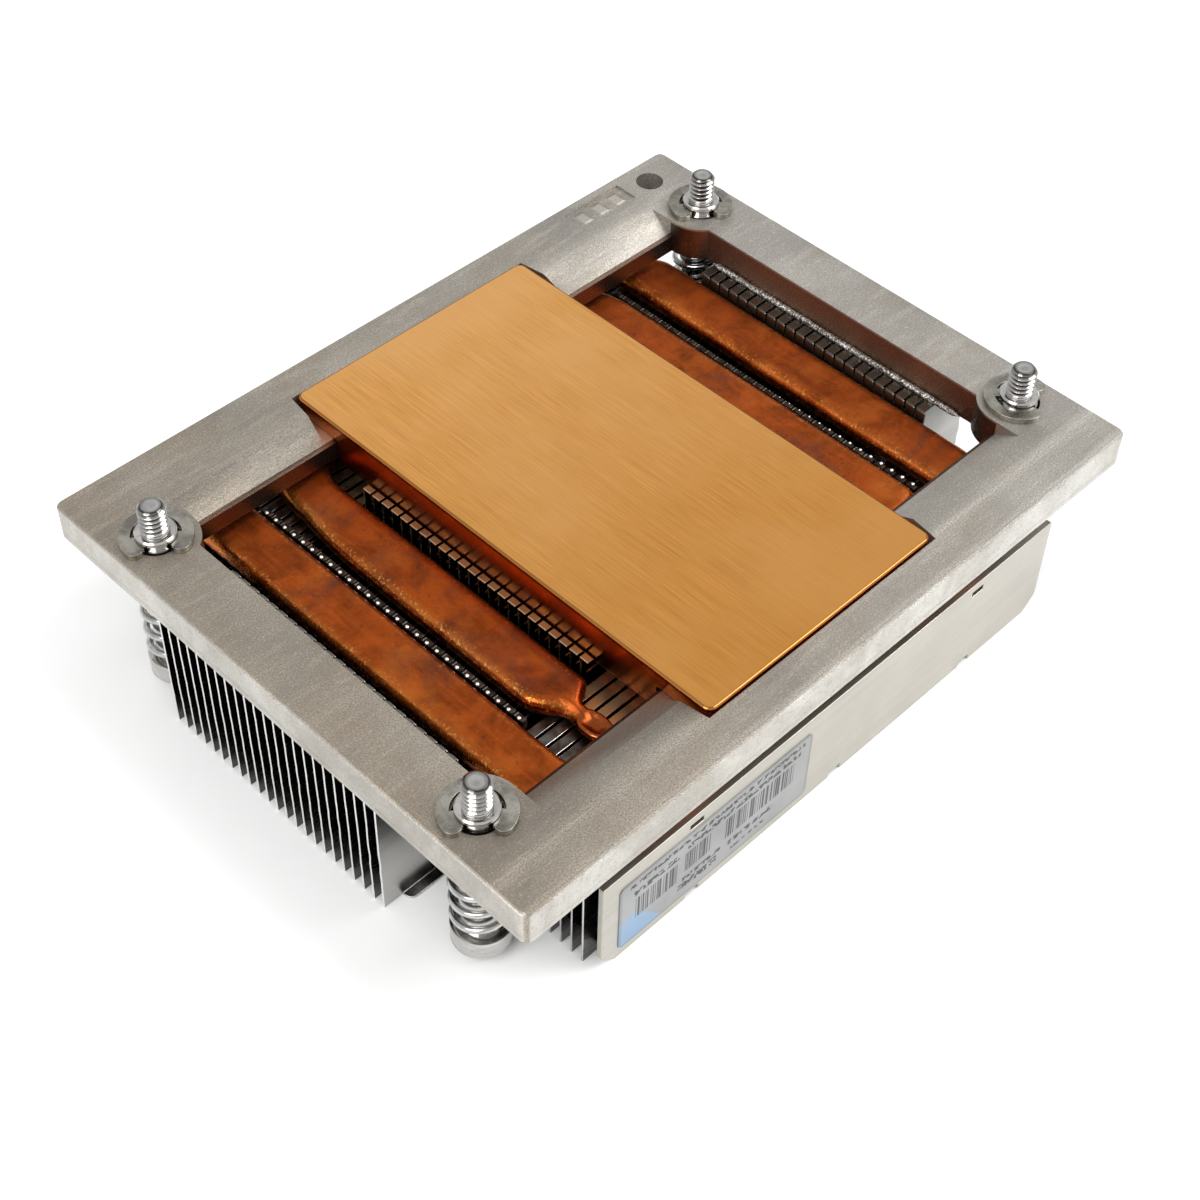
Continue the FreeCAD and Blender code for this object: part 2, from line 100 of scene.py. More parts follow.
class HeatSinkColours(bpy.types.PropertyGroup):
    cast: colour("Cast frame", (0.44, 0.415, 0.37), "Matte cast metal of the mounting frame")
    # Bright dashes on the frame's edges: a painted highlight, partly bare metal.
    wear_and_highlight: colour("Worn edges", (0.97, 0.96, 0.92), "Bare metal along the frame's edges")
    face_copper: colour("Copper face", (0.74, 0.37, 0.11), "Brushed copper of the base block's top")
    # Bright red of the glowing band on the block's sides, a painted reflection.
    side_copper: colour("Copper sides", (0.95, 0.27, 0.055), "Copper of the base block's sides")
    pipe_copper: colour("Pipe copper", (0.365, 0.071, 0.0112), "Copper of the heat pipes")
    pipe_stain: colour("Pipe stain", (0.125, 0.042, 0.026), "Dark patches where the pipes were heated")
    # Painted highlight: bright specks along the pipes' round sides.
    pipe_rim_glint: colour("Pipe glints", (0.85, 0.42, 0.12), "Rubbed specks along the pipes' round sides")
    fin_edge: colour("Fin edges", (0.66, 0.65, 0.63), "Bright edges and folds of the fins")
    # Painted shade: the broad faces of the fins are painted dark.
    fin_face_shade: colour("Fin faces", (0.10, 0.098, 0.094), "Broad faces of the fins, dark between neighbours")
    last_fin: colour("Last fin", (0.38, 0.375, 0.36), "Open face of the last long fin")
    # Painted shade: the folds that show in the windows are painted dark.
    fold: colour("Folds", (0.21, 0.20, 0.178), "Dull tops of the folds that show in the windows")
    cover: colour("End covers", (0.455, 0.435, 0.385), "Sheet of the two end covers")
    steel: colour("Plated steel", (0.56, 0.55, 0.53), "Captive screws")
    clip: colour("Clip plating", (0.30, 0.285, 0.25), "Dull plating of the retaining clips")
    spring: colour("Spring wire", (0.50, 0.50, 0.49), "Wire of the springs")
    label: colour("Label", (0.325, 0.328, 0.326), "Silver ground of the label")
    label_print: colour("Label print", (0.035, 0.035, 0.04), "Bars and lines on the label")
    label_field: colour("Label field", (0.23, 0.37, 0.56), "Coloured corner of the label")
    floor: colour("Floor", (0.955, 0.955, 0.955), "Pale floor")


class HeatPipeSizes(bpy.types.PropertyGroup):
    width: length("Width", 7.7 * MM, "Width of the flattened tube")
    crimp_length: length("Crimp length", 3.6 * MM, "Flat end that seals the tube")
    neck_length: length("Neck length", 1.4 * MM, "Narrow place behind the crimp")
    shoulder_length: length("Shoulder length", 2.6 * MM, "Length over which the tube narrows")
    crimp_width: length("Crimp width", 3.5 * MM, "Width of the flat end")
    neck_width: length("Neck width", 2.3 * MM, "Width of the narrow place")
    crimp_thickness: length("Crimp thickness", 1.3 * MM, "Thickness of the flat end")
    long_shoulder: length("Long shoulder", 5.6 * MM, "Length of the gentler narrowing on the outward side")
    crimp_dish: length("Crimp dish", 0.50 * MM, "Depth of the hollow in the flat end")
    lip_drop: length("Lip drop", 0.75 * MM, "How far the neck's outward side is pressed down")
    hidden_leg_y: length("Hidden leg", 19.0 * MM, "Distance from the middle to the end of the hidden leg")
    dish: length("Dish", 0.11 * MM, "How far the flat sides sink in along the middle")
    wrinkle: length("Wrinkle", 0.10 * MM, "Height of the wrinkles inside the bends")
    wrinkle_pace: length("Wrinkle pace", 2.3 * MM, "Distance from one wrinkle to the next")
    lean_length: length("Lean length", 13.0 * MM, "Part of a leg over which its outward side draws in")
    around: count("Points around", 48, "Points round the tube")


class FastenerSizes(bpy.types.PropertyGroup):
    head_width: length("Head width", 7.4 * MM, "Diameter of the screw head")
    head_height: length("Head height", 3.0 * MM, "Height of the screw head")
    shoulder_width: length("Shoulder width", 5.1 * MM, "Diameter of the screw's shoulder")
    groove_width: length("Groove width", 3.9 * MM, "Diameter of the groove for the clip")
    groove_low: length("Groove bottom", 23.95 * MM, "Height of the groove's lower side")
    groove_high: length("Groove top", 24.85 * MM, "Height of the groove's upper side")
    collar_top: length("Collar top", 25.55 * MM, "Height of the collar above the groove")
    thread_width: length("Thread width", 3.5 * MM, "Outside diameter of the thread")
    thread_pitch: length("Thread pitch", 0.70 * MM, "Distance from crest to crest")
    thread_depth: length("Thread depth", 0.42 * MM, "Depth of the thread")
    socket_width: length("Socket width", 3.5 * MM, "Width of the hexagon socket across its flats")
    socket_depth: length("Socket depth", 1.8 * MM, "Depth of the hexagon socket")
    chamfer: length("Tip chamfer", 0.48 * MM, "Chamfer at the threaded end")
    edge: length("Edge", 0.12 * MM, "Softness of the turned edges")
    wire: length("Spring wire", 0.9 * MM, "Diameter of the spring's wire")
    spring_width: length("Spring width", 7.4 * MM, "Outside diameter of the spring")
    turns: plain_number("Turns", 4.5, "Turns of the spring")
    steps: count("Steps a turn", 72, "Steps of a screw and of a spring in one turn")
    wire_steps: count("Steps round the wire", 16, "Steps round the spring's wire")


class FinSizes(bpy.types.PropertyGroup):
    kink: length("Kink", 0.06 * MM, "How far the free ends of a fin are bent sideways")
    kink_reach: length("Kink reach", 2.5 * MM, "Length of the bent end")
    kink_step: length("Kink step", 1.7 * MM, "Distance between two kinks up the fin")
    flange_corner: length("Flange corner", 1.1 * MM, "Corner radius of the last fin's foot")
    rib_outside: length("Rib side", 31.4 * MM, "Distance from the middle to the outer side of the low rib")
    rib_width: length("Rib width", 0.8 * MM, "Width of the low rib")
    rib_top: length("Rib top", 17.2 * MM, "Height of the low rib")
    rib_foot: length("Rib foot", 15.4 * MM, "Height of the seats on both sides of the low rib")
    land_side: length("Land side", 41.2 * MM, "Distance from the middle to the end of the outer seat")
    strip_inside: length("Strip side", 43.15 * MM, "Distance from the middle to the rough strip")
    strip_outside: length("Strip back", 44.05 * MM, "Distance from the middle to the back bar's inner wall")
    underside: length("Frame underside", 19.0 * MM, "Height of the frame's underside")
    strip_height: length("Strip height", 0.75 * MM, "Height of the rough strip")
    strip_reach: length("Strip reach", 22.0 * MM, "Half the length of the rough strip")
    # The bead carries a painted highlight on the fold's corner.
    highlight_bead_width: length("Bead width", 0.52 * MM, "Width of the bright bead on each fold's corner")
    first_fold: count("First fold", 6, "Fins between the stack's far side and the first fold on the rib")


class StageSettings(bpy.types.PropertyGroup):
    azimuth: angle("Azimuth", -47.228, "Turn of the camera round the object")
    elevation: angle("Elevation", 46.524, "Height of the camera above the horizon")
    roll: angle("Roll", 2.448, "Turn of the camera about its own line of sight")
    distance: length("Distance", 245.018 * MM, "Distance from the camera to its target")
    target: bpy.props.FloatVectorProperty(
        name="Target", description="Point on the camera's axis", size=3, unit="LENGTH",
        default=(-9.199 * MM, -13.43 * MM, 24.0 * MM))
    lens: plain_number("Lens", 62.214, "Focal length in millimetres")
    shift_x: plain_number("Shift x", -0.0253, "Sideways shift of the picture")
    shift_y: plain_number("Shift y", -0.0325, "Upward shift of the picture")
    sky: plain_number("Sky", 0.80, "Brightness all round")
    key: plain_number("Key light", 2.7, "Power of the large soft light")
    floor_reach: length("Floor", 3.0, "Distance from the middle to the floor's edges")


class EdgeSizes(bpy.types.PropertyGroup):
    frame: length("Frame edges", 0.18 * MM, "Width of the rounding along the cast frame's edges")
    sheet: length("Sheet edges", 0.12 * MM, "Width of the rounding on the block, the covers and the clips")
    fin: length("Fin edges", 0.09 * MM, "Width of the rounding on the fins")


class HeatSinkSettings(bpy.types.PropertyGroup):
    colours: group(HeatSinkColours, "Colours")
    pipes: group(HeatPipeSizes, "Heat pipes")
    fasteners: group(FastenerSizes, "Fasteners")
    fins: group(FinSizes, "Fins")
    edges: group(EdgeSizes, "Edges")
    stage: group(StageSettings, "Stage")


def settings():
    return bpy.context.scene.heat_sink


# Finishes

NOISE_SPAN = (0.3, 0.7)  # most values of a noise lie between these
SOFT_SIDE = 0.04 * MM


class Finish:
    """One material's node tree, with short calls for the nodes that the finishes share. What they
    take is a number, a colour or the output of another node."""

    def __init__(self, name, metallic):
        self.material = bpy.data.materials.new(name)
        self.material.use_nodes = True
        self.tree = self.material.node_tree
        self.shader = self.tree.nodes["Principled BSDF"]
        self.shader.inputs["Metallic"].default_value = metallic
        self.where = self.node("ShaderNodeTexCoord", {}).outputs["Object"]

    def feed(self, socket, value):
        if isinstance(value, bpy.types.NodeSocket):
            self.tree.links.new(value, socket)
        elif socket.type == "RGBA":
            socket.default_value = (*value[:3], 1.0)
        else:
            socket.default_value = value

    def node(self, kind, inputs, **traits):
        """New node with its traits set and then its inputs fed."""
        node = self.tree.nodes.new(kind)
        for trait, value in traits.items():
            setattr(node, trait, value)
        for title, value in inputs.items():
            self.feed(node.inputs[title], value)
        return node

    def noise(self, scale, detail=4.0, roughness=0.55, distortion=0.0, turn=(0, 0, 0)):
        """Noise in object coordinates. A scale of three stretches them and a turn then tilts
        them, so the pattern can be long one way."""
        where = self.where
        if isinstance(scale, tuple):
            inputs = {"Vector": where, "Scale": scale, "Rotation": turn}
            where, scale = self.node("ShaderNodeMapping", inputs).outputs["Vector"], 1.0
        inputs = {"Vector": where, "Scale": scale, "Detail": detail, "Roughness": roughness,
                  "Distortion": distortion}
        return self.node("ShaderNodeTexNoise", inputs).outputs["Fac"]

    def ramp(self, value, low, high, start=0.0, end=1.0):
        """Value carried from start to end while it goes from low to high."""
        inputs = {"Value": value, "From Min": low, "From Max": high, "To Min": start, "To Max": end}
        return self.node("ShaderNodeMapRange", inputs).outputs["Result"]

    def mix(self, share, first, second, blend="MIX"):
        """Mix of two colours, which are inputs 6 and 7 of the node and its output 2."""
        inputs = {"Factor": share, 6: first, 7: second}
        return self.node("ShaderNodeMix", inputs, data_type="RGBA", blend_type=blend).outputs[2]

    def blend(self, value, low, high, first, second, share=1.0):
        """First colour carried to the second, or a share of the way, while a value goes from low
        to high."""
        return self.mix(self.ramp(value, low, high, 0.0, share), first, second)

    def reckon(self, operation, first, second=0.0):
        return self.node("ShaderNodeMath", {0: first, 1: second}, operation=operation).outputs[0]

    def times(self, first, second):
        return self.reckon("MULTIPLY", first, second)

    def plus(self, first, second):
        return self.reckon("ADD", first, second)

    def minus(self, first, second):
        return self.reckon("SUBTRACT", first, second)

    def most(self, first, second):
        return self.reckon("MAXIMUM", first, second)

    def above(self, value, level):
        return self.reckon("GREATER_THAN", value, level)

    def below(self, value, level):
        return self.reckon("LESS_THAN", value, level)

    def signed_axes(self):
        """Object coordinates taken apart."""
        return self.node("ShaderNodeSeparateXYZ", {"Vector": self.where}).outputs[:]

    def axes(self):
        """Distances from the middle along X and Y, and height."""
        x, y, z = self.signed_axes()
        return self.reckon("ABSOLUTE", x), self.reckon("ABSOLUTE", y), z

    def within(self, value, high, soft=SOFT_SIDE):
        """One below a place and nought past it, with a soft side."""
        return self.ramp(value, high + soft, high - soft)

    def band(self, value, low, high, soft=SOFT_SIDE):
        """One between low and high, nought outside, with soft sides."""
        return self.times(self.ramp(value, low - soft, low + soft), self.within(value, high, soft))

    def attribute(self, name):
        return self.node("ShaderNodeAttribute", {}, attribute_name=name).outputs["Fac"]

    def made(self, colour, roughness, relief=None, distance=0.0, strength=1.0):
        """The finished material. A roughness of three is a noise and the roughness at its low and
        at its high end, and relief is felt as bumps of up to a distance."""
        if isinstance(roughness, tuple):
            roughness = self.ramp(roughness[0], *NOISE_SPAN, *roughness[1:])
        self.feed(self.shader.inputs["Base Color"], colour)
        self.feed(self.shader.inputs["Roughness"], roughness)
        if relief is not None:
            bump = self.node("ShaderNodeBump", {"Height": relief, "Distance": distance, "Strength": strength})
            self.feed(self.shader.inputs["Normal"], bump.outputs["Normal"])
        return self.material


def shade(tone, factor):
    return tuple(min(1.0, c * factor) for c in tone)


def panel_marks(finish):
    """Three plain raised bars in the frame's marking panel."""
    x, y, _ = finish.signed_axes()
    bars = 0.0
    for middle in (33.5 * MM, 36.7 * MM, 39.9 * MM):
        bars = finish.plus(finish.band(x, middle - 0.8 * MM, middle + 0.8 * MM, 0.2 * MM), bars)
    return finish.times(bars, finish.band(y, 36.7 * MM, 38.8 * MM, 0.2 * MM))


def cast_metal():
    """Sandy grain with small glints and dark pores, faint brown clouds, fine lines along the long
    bars, and a slow change from warm and darker to pale along the frame. The front long bar has a
    darker area beside the window, then two lighter ridges. The window's inner walls are smooth
    and painted in shade: near black under the long bars and dark brown on the end walls, where
    the brown is a painted reflection of the copper. The outer sides are painted lighter than the
    top, a painted sheen over smears, and a thin double line runs round them, where the two
    halves of the mould met."""
    tone = settings().colours.cast
    finish = Finish("cast_metal", 0.9)
    x, y, z = finish.axes()
    grain = finish.noise(5000, 4, 0.75)
    glint = finish.noise(4600, 3, 0.62)
    pore = finish.noise(2000, 4, 0.7)
    cloud = finish.noise(48, 4, 0.62)
    brown = finish.noise(85, 4, 0.65, 0.5)
    rub = finish.noise((90, 620, 620), 4, 0.65, turn=(0, 0, 0.12))
    lines = finish.noise((55, 1700, 1700), 4, 0.6)
    base = finish.blend(cloud, 0.36, 0.64, shade(tone, 0.72), shade(tone, 1.14))
    base = finish.blend(brown, 0.48, 0.70, base, (0.36, 0.295, 0.215), 0.55)
    base = finish.blend(rub, 0.52, 0.66, base, shade(tone, 1.40), 0.50)
    along, front, _ = finish.signed_axes()
    # On the front long bar: two lighter ridges and a darker band beside the window.
    ridge = finish.most(finish.band(front, -36.6 * MM, -35.3 * MM, 0.6 * MM),
                        finish.band(front, -40.8 * MM, -40.3 * MM, 0.3 * MM))
    ridge = finish.times(ridge, finish.ramp(lines, 0.36, 0.52, 0.15, 0.75))
    base = finish.mix(ridge, base, shade(tone, 1.55))
    darker_band = finish.times(finish.band(front, -34.5 * MM, -28.5 * MM, 1.2 * MM), 0.50)
    base = finish.mix(darker_band, base, shade(tone, 0.60))
    base = finish.blend(grain, 0.38, 0.58, shade(tone, 0.56), base)
    base = finish.blend(pore, 0.40, 0.28, base, shade(tone, 0.42), 0.6)
    long_bars = finish.times(finish.ramp(y, 28.2 * MM, 29.0 * MM), finish.ramp(lines, 0.54, 0.70, 0.0, 0.5))
    base = finish.mix(long_bars, base, shade(tone, 0.62))
    base = finish.blend(glint, 0.57, 0.68, base, shade(tone, 1.6), 0.45)
    tint = finish.blend(along, -50.0 * MM, 50.0 * MM, (0.92, 0.86, 0.80), (1.16, 1.16, 1.18))
    base = finish.mix(1.0, base, tint, "MULTIPLY")
    inside = finish.times(finish.within(x, 44.05 * MM), finish.within(y, 28.7 * MM))
    inside = finish.times(inside, finish.ramp(z, 23.8 * MM, 23.6 * MM))
    # Painted shade on the window's inner walls: dark brown on the end walls, where the brown is a painted
    # reflection of the copper, and near black under the long bars.
    walls = finish.blend(cloud, 0.40, 0.60, (0.17, 0.090, 0.055), (0.27, 0.16, 0.10))
    walls = finish.blend(y, 24.0 * MM, 25.5 * MM, walls, (0.05, 0.026, 0.014))
    base = finish.mix(finish.times(inside, 0.92), base, walls)
    outside = finish.most(finish.ramp(x, 52.3 * MM, 52.4 * MM), finish.ramp(y, 41.05 * MM, 41.15 * MM))
    # The outer sides are painted lighter than the top, a painted sheen, over smears and pores.
    smears_and_sheen = finish.blend(brown, 0.36, 0.60, (0.66, 0.645, 0.60), (0.44, 0.415, 0.37))
    smears_and_sheen = finish.blend(pore, 0.44, 0.32, smears_and_sheen, shade(tone, 0.6), 0.6)
    base = finish.mix(finish.times(outside, 0.85), base, smears_and_sheen)
    low_line = finish.times(finish.band(z, 20.1 * MM, 20.16 * MM), 0.5)
    seam = finish.most(finish.band(z, 19.8 * MM, 19.9 * MM), low_line)
    seam = finish.times(finish.times(outside, seam), finish.ramp(cloud, 0.30, 0.60, 0.25, 0.85))
    base = finish.mix(seam, base, shade(tone, 0.38))
    marks = panel_marks(finish)
    base = finish.mix(finish.times(marks, 0.35), base, shade(tone, 1.6))
    rough = finish.ramp(grain, *NOISE_SPAN, 0.54, 0.34)
    rough = finish.minus(rough, finish.times(finish.most(inside, outside), 0.16))
    relief = finish.plus(finish.plus(grain, finish.times(pore, 0.6)), finish.times(lines, 0.25))
    return finish.made(base, rough, finish.plus(relief, finish.times(marks, 4.0)), 0.08 * MM, 0.60)


def worn_and_highlit_metal():
    """Cast metal along the edges. The top edges carry bright dashes, most where the edge is on the
    outside: a painted highlight along the rounded edge, partly bare rubbed metal. Lower down the
    edges are painted in shade inside the window and pale outside, the tone of the sides' painted
    sheen.
    """
    colours = settings().colours
    finish = Finish("worn_and_highlit_metal", 0.7)
    x, y, z = finish.axes()
    grain = finish.noise(4200, 4, 0.7)
    dash = finish.noise(700, 4, 0.65)
    outside = finish.most(finish.ramp(x, 51.8 * MM, 52.0 * MM), finish.ramp(y, 40.5 * MM, 40.7 * MM))
    high = finish.ramp(z, 23.0 * MM, 23.4 * MM)
    share = finish.times(finish.ramp(outside, 0.0, 1.0, 0.70, 1.0), high)
    share = finish.times(share, finish.ramp(dash, 0.30, 0.48, 0.30, 1.0))
    # Low edges: painted shade inside the window, and outside the pale tone of the sides' painted sheen.
    low = finish.mix(outside, shade(colours.cast, 0.5), (0.66, 0.64, 0.60))
    base = finish.mix(high, low, shade(colours.cast, 0.95))
    # Bright dashes: a painted highlight along the top edges, partly bare rubbed metal.
    base = finish.mix(share, base, colours.wear_and_highlight)
    worn_grain = finish.blend(grain, 0.32, 0.50, (0.72, 0.71, 0.69), (1.0, 1.0, 1.0))
    base = finish.mix(1.0, base, worn_grain, "MULTIPLY")
    return finish.made(base, (grain, 0.36, 0.20), grain, 0.06 * MM, 0.5)


def brushed_copper():
    """Fine lines along the block's long side, a soft lighter patch and a few nicks."""
    tone = settings().colours.face_copper
    finish = Finish("brushed_copper", 1.0)
    fine = finish.noise((8200, 110, 8200), 4, 0.68)
    broad = finish.noise((1500, 20, 1500), 3, 0.5, turn=(0, 0, 0.015))
    cloud = finish.noise(34, 4, 0.60)
    nick = finish.noise((900, 330, 900), 3, 0.6, turn=(0, 0, 0.5))
    base = finish.blend(fine, 0.36, 0.64, shade(tone, 0.76), shade(tone, 1.20))
    base = finish.blend(broad, 0.46, 0.62, base, shade(tone, 0.90), 0.35)
    base = finish.blend(cloud, 0.42, 0.62, base, (0.80, 0.45, 0.18), 0.60)
    along = finish.signed_axes()[1]
    tint = finish.blend(along, -40.0 * MM, 30.0 * MM, (0.80, 0.70, 0.50), (1.07, 1.06, 1.02))
    base = finish.mix(1.0, base, tint, "MULTIPLY")
    return finish.made(
        finish.blend(nick, 0.74, 0.80, base, (0.92, 0.66, 0.38), 0.7),
        (fine, 0.46, 0.30), finish.plus(fine, finish.times(broad, 0.3)), 0.03 * MM, 0.40)


def side_copper():
    """The block's milled sides: a bright top edge, a painted highlight; a dark line under it, a
    painted shade; a glowing red band, a painted reflection; and brown below.
    """
    tone = settings().colours.side_copper
    finish = Finish("side_copper", 1.0)
    z = finish.axes()[2]
    cloud = finish.noise(190, 5, 0.62)
    speck = finish.noise(1500, 4, 0.7)
    fine = finish.noise((300, 300, 4200), 3, 0.6)
    low = finish.blend(cloud, 0.35, 0.65, (0.22, 0.055, 0.014), (0.46, 0.16, 0.04))
    # Glowing red band: a painted reflection.
    glow = finish.blend(cloud, 0.35, 0.65, shade(tone, 0.55), tone)
    base = finish.blend(z, 20.4 * MM, 22.2 * MM, low, glow)
    # A dark line under the top edge, painted shade, then the top edge, a painted highlight.
    base = finish.mix(finish.band(z, 23.95 * MM, 24.25 * MM, 0.08 * MM), base, (0.10, 0.025, 0.008))
    base = finish.blend(z, 24.32 * MM, 24.4 * MM, base, (0.36, 0.16, 0.045))
    return finish.made(
        finish.blend(speck, 0.67, 0.74, base, (0.95, 0.62, 0.36), 0.8),
        (cloud, 0.28, 0.12), fine, 0.04 * MM, 0.4)


def pipe_copper():
    """Heated copper: red-brown ground with streaks, dark and violet patches, orange clouds, and on
    the round sides (the mesh's rim attribute is one there) a warmer painted sheen and bright
    specks, a painted highlight, with a few specks elsewhere. The crimped end (attribute tip) is
    glossier."""
    colours = settings().colours
    tone = colours.pipe_copper
    finish = Finish("pipe_copper", 1.0)
    rim = finish.attribute("rim")
    tip = finish.attribute("tip")
    cloud = finish.noise(150, 5, 0.66, 0.9)
    patch = finish.noise(75, 5, 0.62, 0.6)
    orange = finish.noise(110, 4, 0.6, 0.3)
    streak = finish.noise((900, 80, 900), 4, 0.6)
    spots = finish.noise(900, 5, 0.72)
    fine = finish.noise(2600, 3, 0.6)
    base = finish.blend(cloud, 0.36, 0.62, shade(tone, 0.58), shade(tone, 1.12))
    base = finish.blend(orange, 0.50, 0.68, base, (0.58, 0.155, 0.026), 0.60)
    base = finish.blend(streak, 0.50, 0.70, base, shade(tone, 1.40), 0.45)
    base = finish.blend(patch, 0.50, 0.66, base, colours.pipe_stain, 0.75)
    base = finish.blend(spots, 0.40, 0.28, base, shade(colours.pipe_stain, 0.7), 0.65)
    # Painted sheen on the round sides.
    warm = finish.times(rim, finish.ramp(cloud, 0.38, 0.60, 0.10, 0.50))
    base = finish.mix(warm, base, (0.56, 0.21, 0.045))
    # Bright specks, a painted highlight, mostly on the round sides.
    rim_glints = finish.times(finish.plus(finish.times(rim, 0.9), 0.05), finish.ramp(fine, 0.56, 0.66))
    base = finish.mix(rim_glints, base, colours.pipe_rim_glint)
    base = finish.mix(finish.times(tip, 0.7), base, (0.26, 0.060, 0.013))
    rough = finish.minus(finish.ramp(spots, *NOISE_SPAN, 0.50, 0.30), finish.times(rim, 0.15))
    rough = finish.minus(rough, finish.times(tip, 0.14))
    return finish.made(base, rough, finish.plus(finish.times(fine, 0.6), spots), 0.06 * MM, 0.6)


def fin_edge_metal():
    """Bright cut edges and folds, brightest on the free ends, a painted highlight. On the seats in
    the windows they are painted dark, a painted shade, pale beside the crimp, and brown beside
    the block, a painted reflection of the copper."""
    tone = settings().colours.fin_edge
    finish = Finish("fin_edge_metal", 1.0)
    streak = finish.noise((120, 2200, 500), 3, 0.5)
    base = finish.blend(streak, 0.35, 0.65, shade(tone, 0.78), tone)
    x, _, z = finish.axes()
    # Free ends brighter: a painted highlight.
    free_ends = finish.ramp(x, 50.8 * MM, 51.2 * MM)
    base = finish.mix(free_ends, base, shade(tone, 1.38))
    # Seats in the windows: painted shade, pale beside the crimp, and brown beside the block, a painted
    # reflection of the copper.
    seats = finish.times(finish.ramp(z, 14.9 * MM, 15.1 * MM), finish.ramp(x, 45.0 * MM, 44.6 * MM))
    beside_crimp = finish.times(finish.ramp(finish.signed_axes()[1], -19.5 * MM, -21.5 * MM),
                                finish.ramp(x, 33.0 * MM, 32.5 * MM))
    seat_painted_light = finish.mix(beside_crimp, (0.175, 0.165, 0.148), (0.70, 0.64, 0.58))
    seat_painted_light = finish.blend(x, 26.6 * MM, 26.0 * MM, seat_painted_light, (0.78, 0.64, 0.44))
    return finish.made(finish.mix(seats, base, seat_painted_light), (streak, 0.34, 0.18), streak, 0.03 * MM, 0.35)


def fin_face_metal():
    """Rolled sheet with faint lines along the fin, painted dark: painted shade between neighbouring fins."""
    tone = settings().colours.fin_face_shade
    finish = Finish("fin_face_metal", 1.0)
    rolled = finish.noise((40, 900, 1800), 4, 0.6)
    return finish.made(
        finish.blend(rolled, 0.35, 0.65, shade(tone, 0.8), shade(tone, 1.1)),
        (rolled, 0.32, 0.18), rolled, 0.02 * MM, 0.3)


def last_fin_metal():
    """Open face of the last long fin: smooth sheet, clouded grey, darker towards the frame, a painted shadow
    under it.
    """
    tone = settings().colours.last_fin
    finish = Finish("last_fin_metal", 1.0)
    rolled = finish.noise((30, 300, 500), 3, 0.5)
    cloud = finish.noise(90, 3, 0.5)
    base = finish.blend(rolled, 0.35, 0.65, shade(tone, 0.92), shade(tone, 1.06))
    base = finish.blend(cloud, 0.42, 0.62, base, shade(tone, 1.5), 0.4)
    # Darker towards the frame: a painted shadow.
    return finish.made(
        finish.blend(finish.axes()[2], 10.0 * MM, 18.5 * MM, base, shade(tone, 0.25)),
        (cloud, 0.30, 0.16), rolled, 0.02 * MM, 0.2)


def foot_metal():
    """Glossy foot of the last long fin, painted near black, a painted reflection of its dark surroundings, with
    a few paler patches.
    """
    finish = Finish("foot_metal", 0.7)
    cloud = finish.noise(300, 4, 0.6)
    return finish.made(
        finish.blend(cloud, 0.52, 0.72, (0.014, 0.013, 0.012), (0.14, 0.13, 0.12), 0.5),
        (cloud, 0.22, 0.08))


def rib_metal():
    """Folds of the low ribs between two pipes, painted near black: painted shade between the pipes."""
    finish = Finish("rib_metal", 0.9)
    cloud = finish.noise(700, 4, 0.6)
    return finish.made(
        finish.blend(cloud, 0.42, 0.64, (0.014, 0.011, 0.008), (0.060, 0.042, 0.030)),
        (cloud, 0.56, 0.36))


def fold_metal():
    """Dull folds seen through the windows, painted in shade: grey near the ends, nearly black between
    the pipes, and brown beside the block, a painted reflection of the copper."""
    tone = settings().colours.fold
    finish = Finish("fold_metal", 1.0)
    cloud = finish.noise(500, 4, 0.6)
    speck = finish.noise(1900, 4, 0.7)
    x = finish.axes()[0]
    # Painted shade in the windows, and a painted copper reflection beside the block.
    base = finish.blend(x, 40.8 * MM, 40.0 * MM, tone, (0.055, 0.038, 0.028))
    base = finish.blend(x, 26.6 * MM, 26.0 * MM, base, (0.60, 0.43, 0.235))
    dark_share = finish.times(finish.ramp(cloud, 0.60, 0.35), finish.ramp(x, 26.2 * MM, 26.6 * MM, 0.25, 1.0))
    base = finish.mix(dark_share, base, shade(tone, 0.62))
    return finish.made(
        finish.blend(speck, 0.62, 0.72, base, shade(tone, 1.9), 0.5),
        (cloud, 0.46, 0.26), speck, 0.04 * MM, 0.5)


def pitted_metal():
    """Rough bright strip with dark pits."""
    finish = Finish("pitted_metal", 0.9)
    pit = finish.noise(3300, 4, 0.72)
    broad = finish.noise(420, 3, 0.6)
    base = finish.blend(broad, 0.38, 0.62, (0.22, 0.20, 0.18), (0.42, 0.40, 0.37))
    base = finish.blend(pit, 0.52, 0.60, base, (0.96, 0.95, 0.93))
    return finish.made(
        finish.blend(pit, 0.49, 0.43, base, (0.06, 0.05, 0.04)),
        (pit, 0.5, 0.3), pit, 0.15 * MM, 0.8)


def highlight_bead_metal():
    """Bright, rounded corners of the folds on the low ribs: a painted highlight."""
    finish = Finish("highlight_bead_metal", 0.8)
    cloud = finish.noise(800, 3, 0.5)
    return finish.made(
        finish.blend(cloud, 0.35, 0.65, (0.80, 0.78, 0.75), (1.0, 1.0, 0.98)),
        (cloud, 0.24, 0.10))


